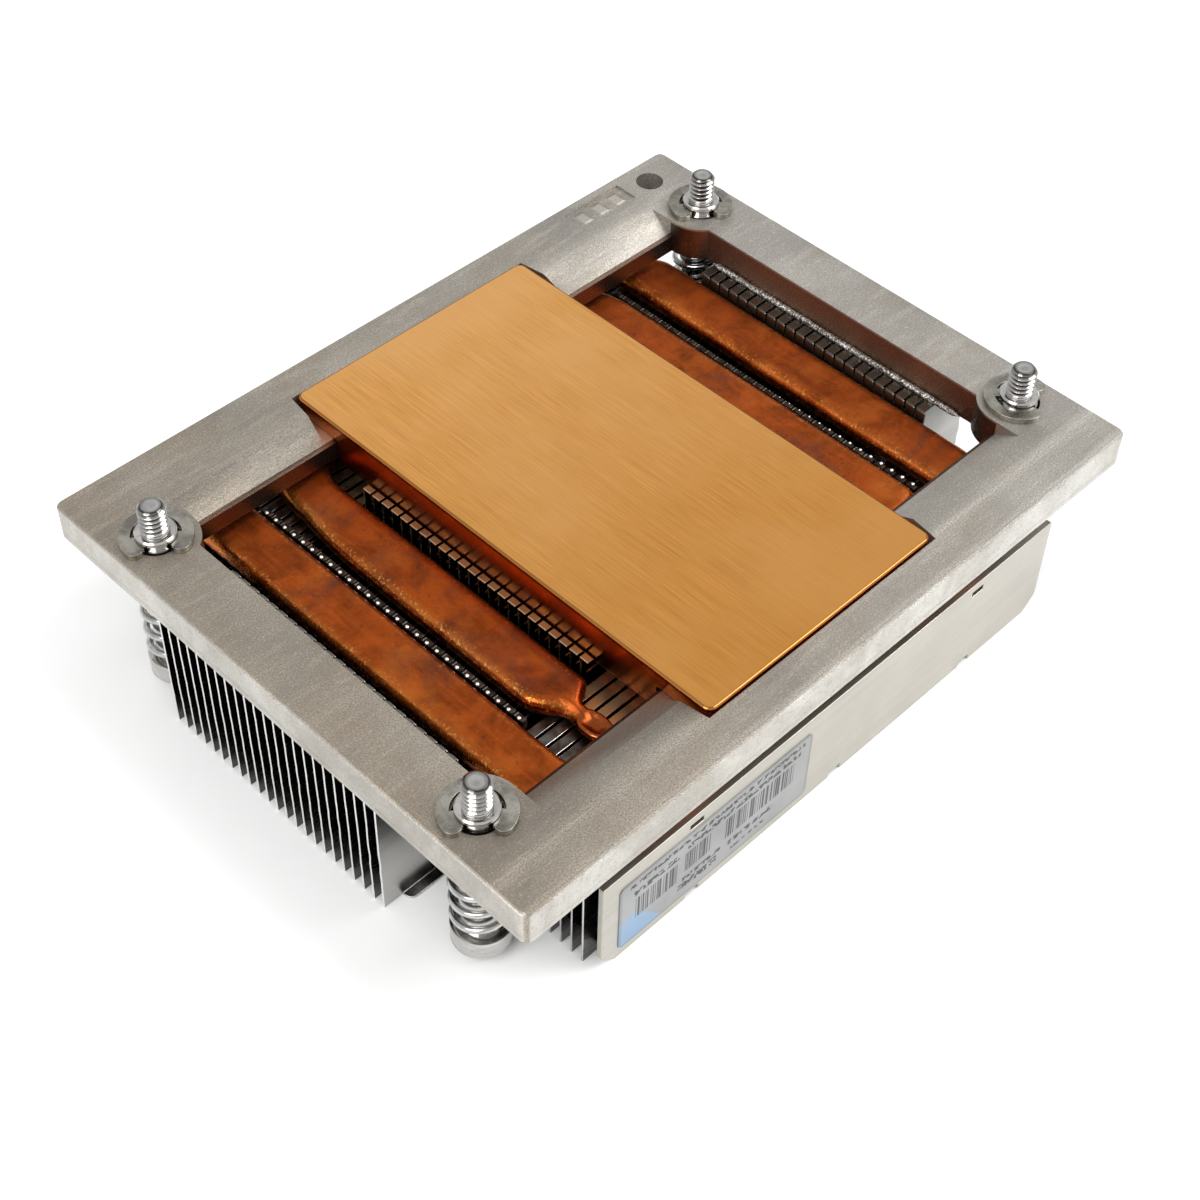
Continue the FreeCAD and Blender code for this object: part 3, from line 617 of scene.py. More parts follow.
def cover_metal():
    """Plated sheet with faint rolling lines, warm and grey clouds and a few small marks."""
    tone = settings().colours.cover
    finish = Finish("cover_metal", 0.92)
    rolled = finish.noise((30, 700, 1400), 4, 0.6)
    cloud = finish.noise(52, 3, 0.55)
    pale = finish.noise(95, 4, 0.6)
    marks = finish.noise(1000, 4, 0.7)
    base = finish.blend(rolled, 0.35, 0.65, shade(tone, 0.95), shade(tone, 1.04))
    base = finish.blend(cloud, 0.45, 0.70, base, (0.55, 0.50, 0.445), 0.45)
    base = finish.blend(pale, 0.52, 0.72, base, shade(tone, 0.86), 0.5)
    return finish.made(
        finish.blend(marks, 0.70, 0.76, base, shade(tone, 0.45), 0.6),
        (cloud, 0.38, 0.24), rolled, 0.03 * MM, 0.3)


def plated_steel():
    """Nickel plating, glossy, with turning lines, small dark specks, and painted shade in the thread's roots
    and on the end, where the root attribute is high.
    """
    tone = settings().colours.steel
    finish = Finish("plated_steel", 1.0)
    turned = finish.noise((500, 500, 5200), 4, 0.6)
    speck = finish.noise(1500, 4, 0.7)
    base = finish.blend(turned, 0.35, 0.65, shade(tone, 0.80), shade(tone, 1.12))
    base = finish.blend(speck, 0.64, 0.72, base, shade(tone, 0.30), 0.7)
    return finish.made(
        finish.mix(finish.times(finish.attribute("root"), 0.97), base, (0.022, 0.018, 0.015)),
        (turned, 0.20, 0.08), turned, 0.03 * MM, 0.35)


def clip_plating():
    """Dull, slightly yellow plating with fine specks."""
    tone = settings().colours.clip
    finish = Finish("clip_plating", 1.0)
    cloud = finish.noise(330, 4, 0.6)
    speck = finish.noise(2300, 4, 0.7)
    base = finish.blend(cloud, 0.38, 0.62, shade(tone, 0.70), shade(tone, 1.45))
    return finish.made(
        finish.blend(speck, 0.56, 0.68, base, shade(tone, 0.45), 0.7),
        (speck, 0.40, 0.22), speck, 0.03 * MM, 0.4)


def spring_wire():
    """Drawn wire, very glossy, with faint lines."""
    tone = settings().colours.spring
    finish = Finish("spring_wire", 1.0)
    drawn = finish.noise(1200, 4, 0.6)
    return finish.made(
        finish.blend(drawn, 0.35, 0.65, shade(tone, 0.82), shade(tone, 1.15)),
        (drawn, 0.20, 0.08), drawn, 0.02 * MM, 0.3)


def label_foil():
    """Silver foil with rows of plain bars, dashes and one coloured corner.
    A field's four numbers are shares of the label's length and height. It is the product of four
    steps, two along the label and two up it; bars and dashes are a noise cut to black and white."""
    colours = settings().colours
    low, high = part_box("label")
    finish = Finish("label_foil", 0.35)
    x, _, z = finish.signed_axes()
    along = finish.ramp(x, low.x, high.x)
    up = finish.ramp(z, low.z, high.z)
    bar_fields = ((0.08, 0.29, 0.34, 0.66), (0.33, 0.46, 0.42, 0.72), (0.54, 0.92, 0.40, 0.72))
    dash_fields = ((0.05, 0.96, 0.88, 0.94), (0.07, 0.30, 0.72, 0.80), (0.34, 0.94, 0.77, 0.84),
                   (0.30, 0.50, 0.13, 0.24), (0.32, 0.52, 0.27, 0.33), (0.56, 0.80, 0.24, 0.31),
                   (0.58, 0.76, 0.12, 0.16))

    def field(x0, x1, z0, z1):
        inside_x = finish.times(finish.above(along, x0), finish.below(along, x1))
        inside_z = finish.times(finish.above(up, z0), finish.below(up, z1))
        return finish.times(inside_x, inside_z)

    def cut_noise(scale, level):
        return finish.above(finish.noise(scale, 2, 0.5), level)

    bars = cut_noise((2900, 0, 0), 0.50)
    dashes = cut_noise((1500, 0, 1500), 0.48)
    ink = 0.0
    for pattern, fields in ((bars, bar_fields), (dashes, dash_fields)):
        for edges in fields:
            ink = finish.most(ink, finish.times(pattern, field(*edges)))
    cloud = finish.noise(140, 3, 0.5)
    ground = finish.blend(cloud, 0.35, 0.65, shade(colours.label, 0.88), shade(colours.label, 1.04))
    edge = finish.plus(along, finish.times(up, 0.30))
    corner = finish.times(finish.ramp(edge, 0.225, 0.215), finish.below(up, 0.42))
    flash = finish.ramp(finish.noise((260, 260, 420), 3, 0.6, turn=(0, 0.6, 0)), 0.50, 0.60)
    tint = finish.mix(finish.times(flash, 0.75), colours.label_field, shade(colours.label, 1.15))
    ground = finish.mix(finish.times(corner, 0.85), ground, tint)
    border = finish.minus(1.0, field(0.012, 0.988, 0.03, 0.97))
    ground = finish.mix(finish.times(border, 0.5), ground, shade(colours.label, 0.6))
    return finish.made(
        finish.mix(finish.times(ink, 0.97), ground, colours.label_print),
        (cloud, 0.48, 0.34), cloud, 0.02 * MM, 0.4)


FINISHES = {}


def finish_named(maker):
    """The material that a finish function makes, made once."""
    if maker.__name__ not in FINISHES:
        FINISHES[maker.__name__] = maker()
    return FINISHES[maker.__name__]


# Meshes

def show(mesh, name, materials, body, smooth=35.0):
    """Object at the origin, smooth but for edges sharper than an angle, riding on a body."""
    mesh.name = name
    mesh.polygons.foreach_set("use_smooth", np.ones(len(mesh.polygons), bool))
    mesh.set_sharp_from_angle(angle=math.radians(smooth))
    piece = bpy.data.objects.new(name, mesh)
    bpy.context.scene.collection.objects.link(piece)
    for maker in materials:
        mesh.materials.append(finish_named(maker))
    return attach(piece, body)


def skinned(rings, values=None):
    """Closed surfaces through rings[..., i, j, :], point j of ring i; quads join like points of
    neighbouring rings and one face closes each end. The faces point outwards. Each entry of
    values goes into an attribute of that name."""
    copies = rings.reshape(-1, *rings.shape[-3:])
    rows, around = copies.shape[1:3]
    i, j = np.meshgrid(np.arange(rows - 1), np.arange(around), indexing="ij")
    first = i * around + j
    second = i * around + (j + 1) % around
    quads = np.stack([first, second, second + around, first + around], -1).reshape(-1, 4)
    points = copies[0].reshape(-1, 3)
    corner = points[quads]
    normal = np.cross(corner[:, 2] - corner[:, 0], corner[:, 3] - corner[:, 1])
    outwards = np.sum((corner.mean(1) - points.mean(0)) * normal) > 0
    start = np.arange(around)
    end = start + (rows - 1) * around
    caps = np.stack([start[::-1], end] if outwards else [start, end[::-1]])
    offset = (np.arange(len(copies)) * rows * around)[:, None, None]
    faces = ((quads if outwards else quads[:, ::-1])[None] + offset).reshape(-1, 4)
    caps = (caps[None] + offset).reshape(-1, around)
    mesh = bpy.data.meshes.new("skin")
    mesh.from_pydata(copies.reshape(-1, 3).tolist(), [], faces.tolist() + caps.tolist())
    for title, level in (values or {}).items():
        mesh.attributes.new(title, "FLOAT", "POINT").data.foreach_set("value", level.reshape(-1))
    return mesh


def copies_of(form, x, y, z):
    """Copies of one form at the places (x, y, z), where a single x or z is the same for all."""
    places = np.stack(np.broadcast_arrays(x, y, z), -1)
    return skinned(places[:, None, None, :] + form)


def of_faces(mesh, title):
    """One vector for each face of a mesh, by the title that Blender gives it."""
    values = np.empty(len(mesh.polygons) * 3)
    mesh.polygons.foreach_get(title, values)
    return values.reshape(-1, 3)


ONE_PLACE = 0.001 * MM          # vertices closer than this become one
FLAT = math.radians(0.5)        # faces within this angle of each other are joined
EDGE = math.radians(40)         # edges sharper than this are rounded


def softened_copy(node, name, width, materials, body, segments=2, sharp=None, reshape=None):
    """Copy of a solid piece with its doubles merged, its flat areas joined, its form worked on by
    reshape and its edges rounded by a live bevel of the given width."""
    work = bmesh.new()
    work.from_mesh(frame["nodes"][node].data)
    bmesh.ops.remove_doubles(work, verts=work.verts, dist=ONE_PLACE)
    bmesh.ops.dissolve_limit(work, angle_limit=FLAT, verts=work.verts, edges=work.edges)
    if reshape is not None:
        reshape(work, node)
    mesh = bpy.data.meshes.new("copy")
    work.to_mesh(mesh)
    work.free()
    piece = show(mesh, name, materials, body)
    bevel = piece.modifiers.new("rounded_edges", "BEVEL")
    bevel.width = width
    bevel.segments = segments
    bevel.limit_method = "ANGLE"
    bevel.angle_limit = EDGE
    bevel.use_clamp_overlap = True
    bevel.harden_normals = True
    if sharp is not None:
        bevel.material = sharp
    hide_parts(node)
    return piece


# Heat pipes

def smooth_step(share):
    """Half a cosine wave from 0 to 1."""
    return (1 - np.cos(np.pi * np.clip(share, 0, 1))) / 2


def tube_size(run, sizes, thickness, long_side):
    """Half widths of the tube, outward and inward, and its thickness at a distance from its
    crimped end: a part of an ellipse for the crimp, the neck, then a shoulder on each side,
    gentler on the outward side where long_side is true."""
    crimp = sizes.crimp_length
    shoulder = crimp + sizes.neck_length
    oval = np.sqrt(np.clip(1 - ((run - 0.6 * crimp) / (0.8 * crimp)) ** 2, 0.1, 1)) * sizes.crimp_width / 2
    narrow = np.maximum(oval, sizes.neck_width / 2)
    gentle = sizes.long_shoulder if long_side else sizes.shoulder_length
    outward = narrow + (sizes.width / 2 - narrow) * smooth_step((run - shoulder) / gentle) ** 0.8
    inward = narrow + (sizes.width / 2 - narrow) * smooth_step((run - shoulder) / sizes.shoulder_length)
    deep = sizes.crimp_thickness * (0.7 + 0.3 * smooth_step(run / (0.2 * crimp)))
    opening = smooth_step((run - crimp) / (sizes.neck_length + sizes.shoulder_length))
    deep = deep + (thickness - deep) * opening
    return outward, inward, deep


def pipe_path(place, low, high, sizes):
    """Stations along leg, half turn and hidden leg: centre, outward direction, distance from the
    crimped end, and shares of the bend and of the lean. The leg is set outwards by shift, which
    fades through the half turn. The lean grows over the leg's last part and fades in the turn."""
    leg_side, bend_side = place["leg"], place["bend"]
    half = sizes.width / 2
    leg_x = low.x + half if leg_side < 0 else high.x - half
    return_x = high.x - half if leg_side < 0 else low.x + half
    radius = abs(leg_x - return_x) / 2
    bend_y = low.y + radius + half if bend_side < 0 else high.y - radius - half
    tip_y = (high.y if bend_side < 0 else low.y) - bend_side * place["longer"]
    tip = sizes.crimp_length + sizes.neck_length + sizes.long_shoulder
    straight = abs(bend_y - tip_y)
    hidden = abs(bend_y + bend_side * sizes.hidden_leg_y)
    tip_steps, leg_steps, turn_steps = 76, 70, 97
    hidden_tip_steps, hidden_leg_steps = 30, 18
    leg_run = np.concatenate([np.linspace(0, tip, tip_steps), np.linspace(tip, straight, leg_steps)[1:]])
    back_run = np.concatenate([np.linspace(0, tip, hidden_tip_steps),
                               np.linspace(tip, hidden, hidden_leg_steps)[1:]])[::-1]
    turn = np.linspace(0, math.pi, turn_steps)[1:-1]
    middle_x = (leg_x + return_x) / 2
    x = np.concatenate([np.full(leg_run.size, leg_x + leg_side * place["shift"]),
                        middle_x + leg_side * (radius * np.cos(turn) +
                                               place["shift"] * (1 + np.cos(turn)) / 2),
                        np.full(back_run.size, return_x)])
    y = np.concatenate([tip_y + bend_side * leg_run, bend_y + bend_side * radius * np.sin(turn),
                        bend_y - bend_side * (hidden - back_run)])
    out_x = leg_side * np.concatenate([np.ones(leg_run.size), np.cos(turn), -np.ones(back_run.size)])
    out_y = bend_side * np.concatenate([np.zeros(leg_run.size), np.sin(turn), np.zeros(back_run.size)])
    run = np.concatenate([leg_run / place["tip"], np.full(turn.size, 1.0), back_run])
    lean = np.concatenate([np.clip((leg_run - straight) / sizes.lean_length + 1, 0, 1) ** 2,
                           smooth_step(1 - turn / 1.1), np.zeros(back_run.size)])
    bend = np.concatenate([np.zeros(leg_run.size), np.sin(turn), np.zeros(back_run.size)])
    return x, y, out_x, out_y, run, bend, lean


def pipe_rings(node, place):
    """Slot-shaped section carried along the pipe's path, and its rim and tip values.
    Round the section: a slot of two half circles joined by flats; the flats sink by dish times
    one minus the square of the distance from the middle, wrinkles are a cosine along the bend
    that fades outwards, the neck's outward side is pressed down to a lip, the crimp has a
    flat-bottomed hollow, and each dent (x, y, reach and depth in millimetres) is bell-shaped. The
    rim value is the sine of the angle round the half circles' upper part."""
    sizes = settings().pipes
    low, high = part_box(node)
    x, y, out_x, out_y, run, bend, lean = pipe_path(place, low, high, sizes)
    outward, inward, deep = tube_size(run, sizes, high.z - low.z, place["long"])
    outward = outward - place["lean"] * lean
    travel = np.concatenate([[0], np.cumsum(np.hypot(np.diff(x), np.diff(y)))])

    around = sizes.around
    quarter = around // 4
    cap = np.linspace(math.pi / 2, -math.pi / 2, quarter + 1)
    flat = np.linspace(-1, 1, quarter + 1)[1:-1]
    flat_across = np.concatenate([np.ones(quarter + 1), -flat, -np.ones(quarter + 1), flat])
    round_across = np.concatenate([np.cos(cap), np.zeros(quarter - 1), -np.cos(cap), np.zeros(quarter - 1)])
    upward = np.concatenate([np.sin(cap), -np.ones(quarter - 1), -np.sin(cap), np.ones(quarter - 1)])
    top = upward > 0.5
    r = (deep / 2)[:, None]
    wide = (outward[:, None] * (1 + flat_across) + inward[:, None] * (1 - flat_across)) / 2
    f = np.maximum(wide - r, 0.02 * MM)
    across = f * flat_across + r * round_across
    rise = r * upward
    share = across / np.maximum(wide, 0.1 * MM)
    open_share = np.clip((outward + inward) / sizes.width, 0, 1)[:, None]
    hollow = np.clip(1 - share ** 2, 0, 1) * np.sign(upward) * (np.abs(upward) > 0.9)
    rise = rise - sizes.dish * hollow * open_share ** 2
    inner = np.clip(-share, 0, 1) ** 2 * bend[:, None] * (upward > 0.9)
    wave = 0.5 + 0.5 * np.cos(travel * 2 * math.pi / sizes.wrinkle_pace)[:, None]
    rise = rise - sizes.wrinkle * inner * wave
    neck = sizes.crimp_length + 0.6 * sizes.neck_length
    lip_place, lip_length = neck + 1.2 * MM, 2.1 * MM
    pressed = np.exp(-((run - lip_place) / lip_length) ** 2)[:, None]
    pressed = pressed * smooth_step((share + 0.15) / 1.1)
    rise = rise - np.minimum(sizes.lip_drop * pressed, 0.8 * r) * (upward > 0.2)
    spoon = np.exp(-((run - 0.58 * sizes.crimp_length) / (0.40 * sizes.crimp_length)) ** 4)[:, None]
    rise = rise - sizes.crimp_dish * spoon * np.exp(-(share / 0.60) ** 4) * top
    px = x[:, None] + across * out_x[:, None]
    py = y[:, None] + across * out_y[:, None]
    for dent_x, dent_y, reach, depth in place["dents"]:
        bell = np.exp(-((px - dent_x * MM) ** 2 + (py - dent_y * MM) ** 2) / (reach * MM) ** 2)
        rise = rise - depth * MM * bell * top
    pz = (low.z + high.z) / 2 + rise
    # rim places the pipe finish's painted sheen and painted highlight specks.
    rim = np.where(round_across > 0, 1.0, 0.7) * np.clip(np.abs(round_across) * 1.3, 0, 1)
    rim = np.broadcast_to(rim * np.clip(upward * 3 + 0.6, 0, 1), px.shape)
    tip_value = np.broadcast_to(smooth_step((1.15 * neck - run) / (0.4 * neck))[:, None], px.shape)
    return np.stack([px, py, pz], -1), {"rim": rim, "tip": tip_value}


class HEATSINK_OT_heat_pipes(bpy.types.Operator):
    """Build the four flattened heat pipes, each a leg, a half turn and a hidden leg"""
    bl_idname = "heatsink.heat_pipes"
    bl_label = "Heat pipes"

    def execute(self, context):
        plain = {"shift": 0.0, "lean": 0.0, "longer": 0.0, "tip": 1.0, "long": False}
        places = {
            "front_outer": {**plain, "leg": -1, "bend": -1, "shift": 0.1 * MM, "longer": 1.4 * MM,
                            "dents": ((-35.0, 6.0, 5.0, 0.07), (-36.4, -17.0, 3.0, 0.06))},
            "front_inner": {**plain, "leg": -1, "bend": 1, "shift": 0.6 * MM, "lean": 1.05 * MM,
                            "long": True, "dents": ((-25.8, -12.9, 0.9, 0.26), (-24.9, -15.9, 2.4, 0.30),
                                                    (-24.6, 21.0, 3.0, 0.14))},
            "back_outer": {**plain, "leg": 1, "bend": -1, "shift": 1.2 * MM, "longer": 1.4 * MM,
                           "long": True, "dents": ((36.0, 2.0, 5.0, 0.07), (34.0, -12.0, 3.0, 0.06))},
            "back_inner": {**plain, "leg": 1, "bend": 1, "shift": 1.2 * MM, "longer": 4.4 * MM,
                           "tip": 0.67, "dents": ((25.0, 8.0, 4.0, 0.10),)},
        }
        for name, place in places.items():
            node = "heat_pipe_" + name
            piece = show(skinned(*pipe_rings(node, place)), "pipe_" + name, [pipe_copper], "stack", 50.0)
            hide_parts(node)
        return {"FINISHED"}


# Captive screws, clips and springs

def screw_rings(number):
    """Turned profile: each row has a radius and a height, and the socket's rows have the hexagon's
    radius, apothem over cosine of the angle from the nearest flat. The thread's radius falls from
    crest to root as a triangle wave of height and angle, and the root value, which places the
    painted shade of the plated finish, is one in its root."""
    sizes = settings().fasteners
    low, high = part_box("captive_screw_%d" % number)
    middle = (low + high) / 2
    theta = np.linspace(0, 2 * math.pi, sizes.steps, endpoint=False)
    hexagon = (sizes.socket_width / 2) / np.cos((theta + math.pi / 6) % (math.pi / 3) - math.pi / 6)
    bottom = low.z
    depth = bottom + sizes.socket_depth
    head, shoulder = sizes.head_width / 2, sizes.shoulder_width / 2
    groove, thread = sizes.groove_width / 2, sizes.thread_width / 2
    head_top = bottom + sizes.head_height
    edge = sizes.edge
    rows = [(0.02 * MM, depth + 0.45 * MM), (1.0 * MM, depth + 0.05 * MM)]
    rows += [(hexagon * share, height) for share, height in (
        (0.98, depth), (1.0, depth - edge), (1.0, bottom + 1.5 * edge), (1.12, bottom))]
    rows += [(head - 3 * edge, bottom), (head - edge, bottom + 0.6 * edge), (head, bottom + 2.5 * edge),
             (head, head_top - edge), (head - 0.3 * edge, head_top - 0.3 * edge), (head - edge, head_top),
             (shoulder, head_top), (shoulder, sizes.groove_low), (groove, sizes.groove_low),
             (groove, sizes.groove_high), (shoulder - edge, sizes.groove_high),
             (shoulder, sizes.groove_high + edge), (shoulder, sizes.collar_top - 1.6 * edge),
             (shoulder - 1.6 * edge, sizes.collar_top), (thread * 0.97, sizes.collar_top)]
    first = len(rows)
    heights = np.linspace(sizes.collar_top + 0.05 * MM, high.z - 0.02 * MM, 120)
    phase = heights[:, None] / sizes.thread_pitch - theta[None, :] / (2 * math.pi)
    tooth = np.abs(2 * (phase % 1.0) - 1)
    cut = np.clip((heights - sizes.collar_top) / sizes.thread_pitch, 0, 1)[:, None]
    radius = thread - sizes.thread_depth * np.clip(1.25 * tooth - 0.12, 0, 1) * cut
    tip = thread - np.clip(heights - (high.z - sizes.chamfer), 0, None)
    radius = np.minimum(radius, tip[:, None])
    rows += list(zip(radius, heights))
    end = radius[-1].min()
    rows += [(end * 0.93, high.z), (end * 0.6, high.z - 0.10 * MM), (0.02 * MM, high.z - 0.30 * MM)]
    around = np.stack([np.broadcast_to(r, theta.shape) for r, _ in rows])
    height = np.stack([np.full(theta.shape, z) for _, z in rows])
    root = np.zeros(around.shape)
    root[first:-3] = np.clip((thread - radius) / sizes.thread_depth, 0, 1) * cut
    # The end's rows get some painted shade too.
    root[-3:] = np.array([0.6, 0.1, 0.3])[:, None]
    x = middle.x + around * np.cos(theta)
    y = middle.y + around * np.sin(theta)
    return np.stack([x, y, height], -1), {"root": root}


def spring_rings(number):
    """Round wire along a helix: the centre line turns evenly and rises by its share of the
    height; each ring is a circle across the wire, tilted by the lead."""
    sizes = settings().fasteners
    low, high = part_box("screw_spring_%d" % number)
    axis = middle_of("captive_screw_%d" % number)
    wire = sizes.wire / 2
    coil = sizes.spring_width / 2 - wire
    bottom, top = low.z + wire, high.z - wire
    turn = np.linspace(0, 2 * math.pi * sizes.turns, int(sizes.steps * sizes.turns) + 1)
    rise = top - bottom
    lead = math.atan2(rise / sizes.turns, 2 * math.pi * coil)
    height = bottom + rise * turn / turn[-1]
    phi = np.linspace(0, 2 * math.pi, sizes.wire_steps, endpoint=False)
    outward = np.stack([np.cos(turn), np.sin(turn), np.zeros(turn.size)], -1)[:, None, :]
    along = np.stack([-np.sin(turn), np.cos(turn), np.zeros(turn.size)], -1)[:, None, :]
    upward = np.array([0, 0, math.cos(lead)]) - along * math.sin(lead)
    centre = outward * coil + np.array([axis.x, axis.y, 0.0])
    centre = centre + np.stack([np.zeros(turn.size), np.zeros(turn.size), height], -1)[:, None, :]
    ends = np.minimum(np.arange(turn.size), np.arange(turn.size)[::-1])
    shrink = np.where(ends == 0, 0.72, np.where(ends == 1, 0.93, 1.0))[:, None, None]
    phi = phi[None, :, None]
    return centre + shrink * wire * (outward * np.cos(phi) + upward * np.sin(phi))


class HEATSINK_OT_captive_screws(bpy.types.Operator):
    """Build the four shoulder screws with their threads and hexagon sockets"""
    bl_idname = "heatsink.captive_screws"
    bl_label = "Captive screws"

    def execute(self, context):
        for number in CORNERS:
            name = "screw_%d" % number
            piece = show(skinned(*screw_rings(number)), name, [plated_steel], name, 38.0)
            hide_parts("captive_screw_%d" % number)
        return {"FINISHED"}


class HEATSINK_OT_springs(bpy.types.Operator):
    """Build the four round-wire springs"""
    bl_idname = "heatsink.springs"
    bl_label = "Springs"

    def execute(self, context):
        for number in CORNERS:
            name = "spring_%d" % number
            node = "screw_spring_%d" % number
            piece = show(skinned(spring_rings(number)), name, [spring_wire], "stack", 60.0)
            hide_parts(node)
            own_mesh(piece)
        return {"FINISHED"}


class HEATSINK_OT_clips(bpy.types.Operator):
    """Round the edges of the four retaining clips"""
    bl_idname = "heatsink.clips"
    bl_label = "Retaining clips"

    def execute(self, context):
        for number in CORNERS:
            node = "retaining_clip_%d" % number
            name = "clip_%d" % number
            piece = softened_copy(node, name, settings().edges.sheet, [clip_plating], name, 3)
        return {"FINISHED"}


# Frame, block, fins, covers and label

class HEATSINK_OT_mounting_frame(bpy.types.Operator):
    """Soften the cast frame's edges and brighten them in dashes, a painted highlight, partly bare metal"""
    bl_idname = "heatsink.mounting_frame"
    bl_label = "Mounting frame"

    def execute(self, context):
        piece = softened_copy("mounting_frame", "cast_frame", settings().edges.frame,
                              [cast_metal, worn_and_highlit_metal], "stack", 3, 1)
        return {"FINISHED"}


class HEATSINK_OT_base_block(bpy.types.Operator):
    """Finish the copper block: brushed top, glossy sides"""
    bl_idname = "heatsink.base_block"
    bl_label = "Base block"

    def execute(self, context):
        piece = softened_copy("base_block", "copper_block", settings().edges.sheet,
                              [brushed_copper, side_copper], "stack", 3, 1)
        side = of_faces(piece.data, "normal")[:, 2] < 0.9
        piece.data.polygons.foreach_set("material_index", side.astype(np.int32))
        return {"FINISHED"}


def bend_free_ends(work, node):
    """Cut a long fin's sheet into bands and push its two free ends sideways.
    The push is a broken line through seeded values at even heights, largest halfway up, times
    the share of the way from the foot flange's end to the fin's end."""
    sizes = settings().fins
    low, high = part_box(node)
    number = int(node.rsplit("_", 1)[1])
    half = high.x
    heights = np.arange(low.z + sizes.kink_step, high.z - 0.5 * sizes.kink_step, sizes.kink_step)
    cuts = [(Vector((0, 0, 1)), height) for height in heights]
    cuts += [(Vector((1, 0, 0)), side * (half - share * sizes.kink_reach))
             for side in (-1, 1) for share in (0.4, 1.0)]
    for normal, place in cuts:
        everything = work.verts[:] + work.edges[:] + work.faces[:]
        bmesh.ops.bisect_plane(work, geom=everything, plane_co=normal * float(place), plane_no=normal)
    values = np.random.default_rng(number).normal(0, 1, heights.size + 2)
    middle = 0.5 * (low.z + high.z)
    knots = np.concatenate([[low.z], heights, [high.z]])
    values = np.clip(values, -1.6, 1.6) * (0.35 + 0.65 * np.exp(-((knots - middle) / (2.5 * MM)) ** 2))
    for vertex in work.verts:
        share = max(0.0, (abs(vertex.co.x) - half + sizes.kink_reach) / sizes.kink_reach)
        vertex.co.y += sizes.kink * share * float(np.interp(vertex.co.z, knots, values))


def round_last_foot(work, node):
    """Round the two free corners of the last long fin's foot flange, then bend the free ends."""
    sizes = settings().fins
    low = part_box(node)[0]
    free_edge, foot_top, upright = low.y + 0.01 * MM, low.z + 1.0 * MM, 0.1 * MM
    corners = [edge for edge in work.edges
               if all(v.co.y < free_edge and v.co.z < foot_top for v in edge.verts)
               and abs(edge.verts[0].co.z - edge.verts[1].co.z) > upright]
    bmesh.ops.bevel(work, geom=corners, offset=sizes.flange_corner, segments=6, profile=0.5, affect="EDGES")
    bend_free_ends(work, node)


def fold_rings(width, depth, tall, roundness, rows=9, around=16):
    """Superellipsoid about the origin: half axes times signed powers of sine and cosine; a low
    power makes it square with round edges."""
    tilt = np.linspace(-0.5 * math.pi, 0.5 * math.pi, rows)[:, None]
    turn = np.linspace(0, 2 * math.pi, around, endpoint=False)[None, :]

    def power(value):
        return np.sign(value) * np.abs(value) ** roundness

    ring = np.maximum(power(np.cos(tilt)), 0.02)
    x = width * ring * power(np.cos(turn))
    y = depth * ring * power(np.sin(turn))
    z = tall * power(np.sin(tilt)) * np.ones_like(turn)
    return np.stack([x, y, z], -1)


class HEATSINK_OT_fins(bpy.types.Operator):
    """Give each fin bright, slightly rounded edges and darker broad faces, the darkness a painted shade; the
    folds in the windows are painted in shade too
    """
    bl_idname = "heatsink.fins"
    bl_label = "Fins"

    def execute(self, context):
        fins = [node for node in sorted(frame["nodes"]) if "_fin" in node]
        last = [node for node in fins if node.startswith("long_fin")][-1]
        foot_top, seats, window = 1.0 * MM, 15.0 * MM, 44.5 * MM
        for node in fins:
            reshape = None
            if node.startswith("long_fin"):
                reshape = round_last_foot if node == last else bend_free_ends
            face = last_fin_metal if node == last else fin_face_metal
            piece = softened_copy(node, node + "_sheet", settings().edges.fin,
                                  [face, fin_edge_metal, fold_metal, foot_metal], "stack", 1, 1, reshape)
            normals, centres = of_faces(piece.data, "normal"), of_faces(piece.data, "center")
            edge = np.abs(normals[:, 1]) < 0.9
            upward = normals[:, 2] > 0.9
            # Folds in the windows get fold_metal, which paints them in shade.
            fold = upward & (centres[:, 2] > seats) & (np.abs(centres[:, 0]) < window)
            index = np.where(fold, 2, edge)
            if node == last:
                index = np.where(upward & (centres[:, 2] < foot_top), 3, index)
            piece.data.polygons.foreach_set("material_index", index.astype(np.int32))
        return {"FINISHED"}


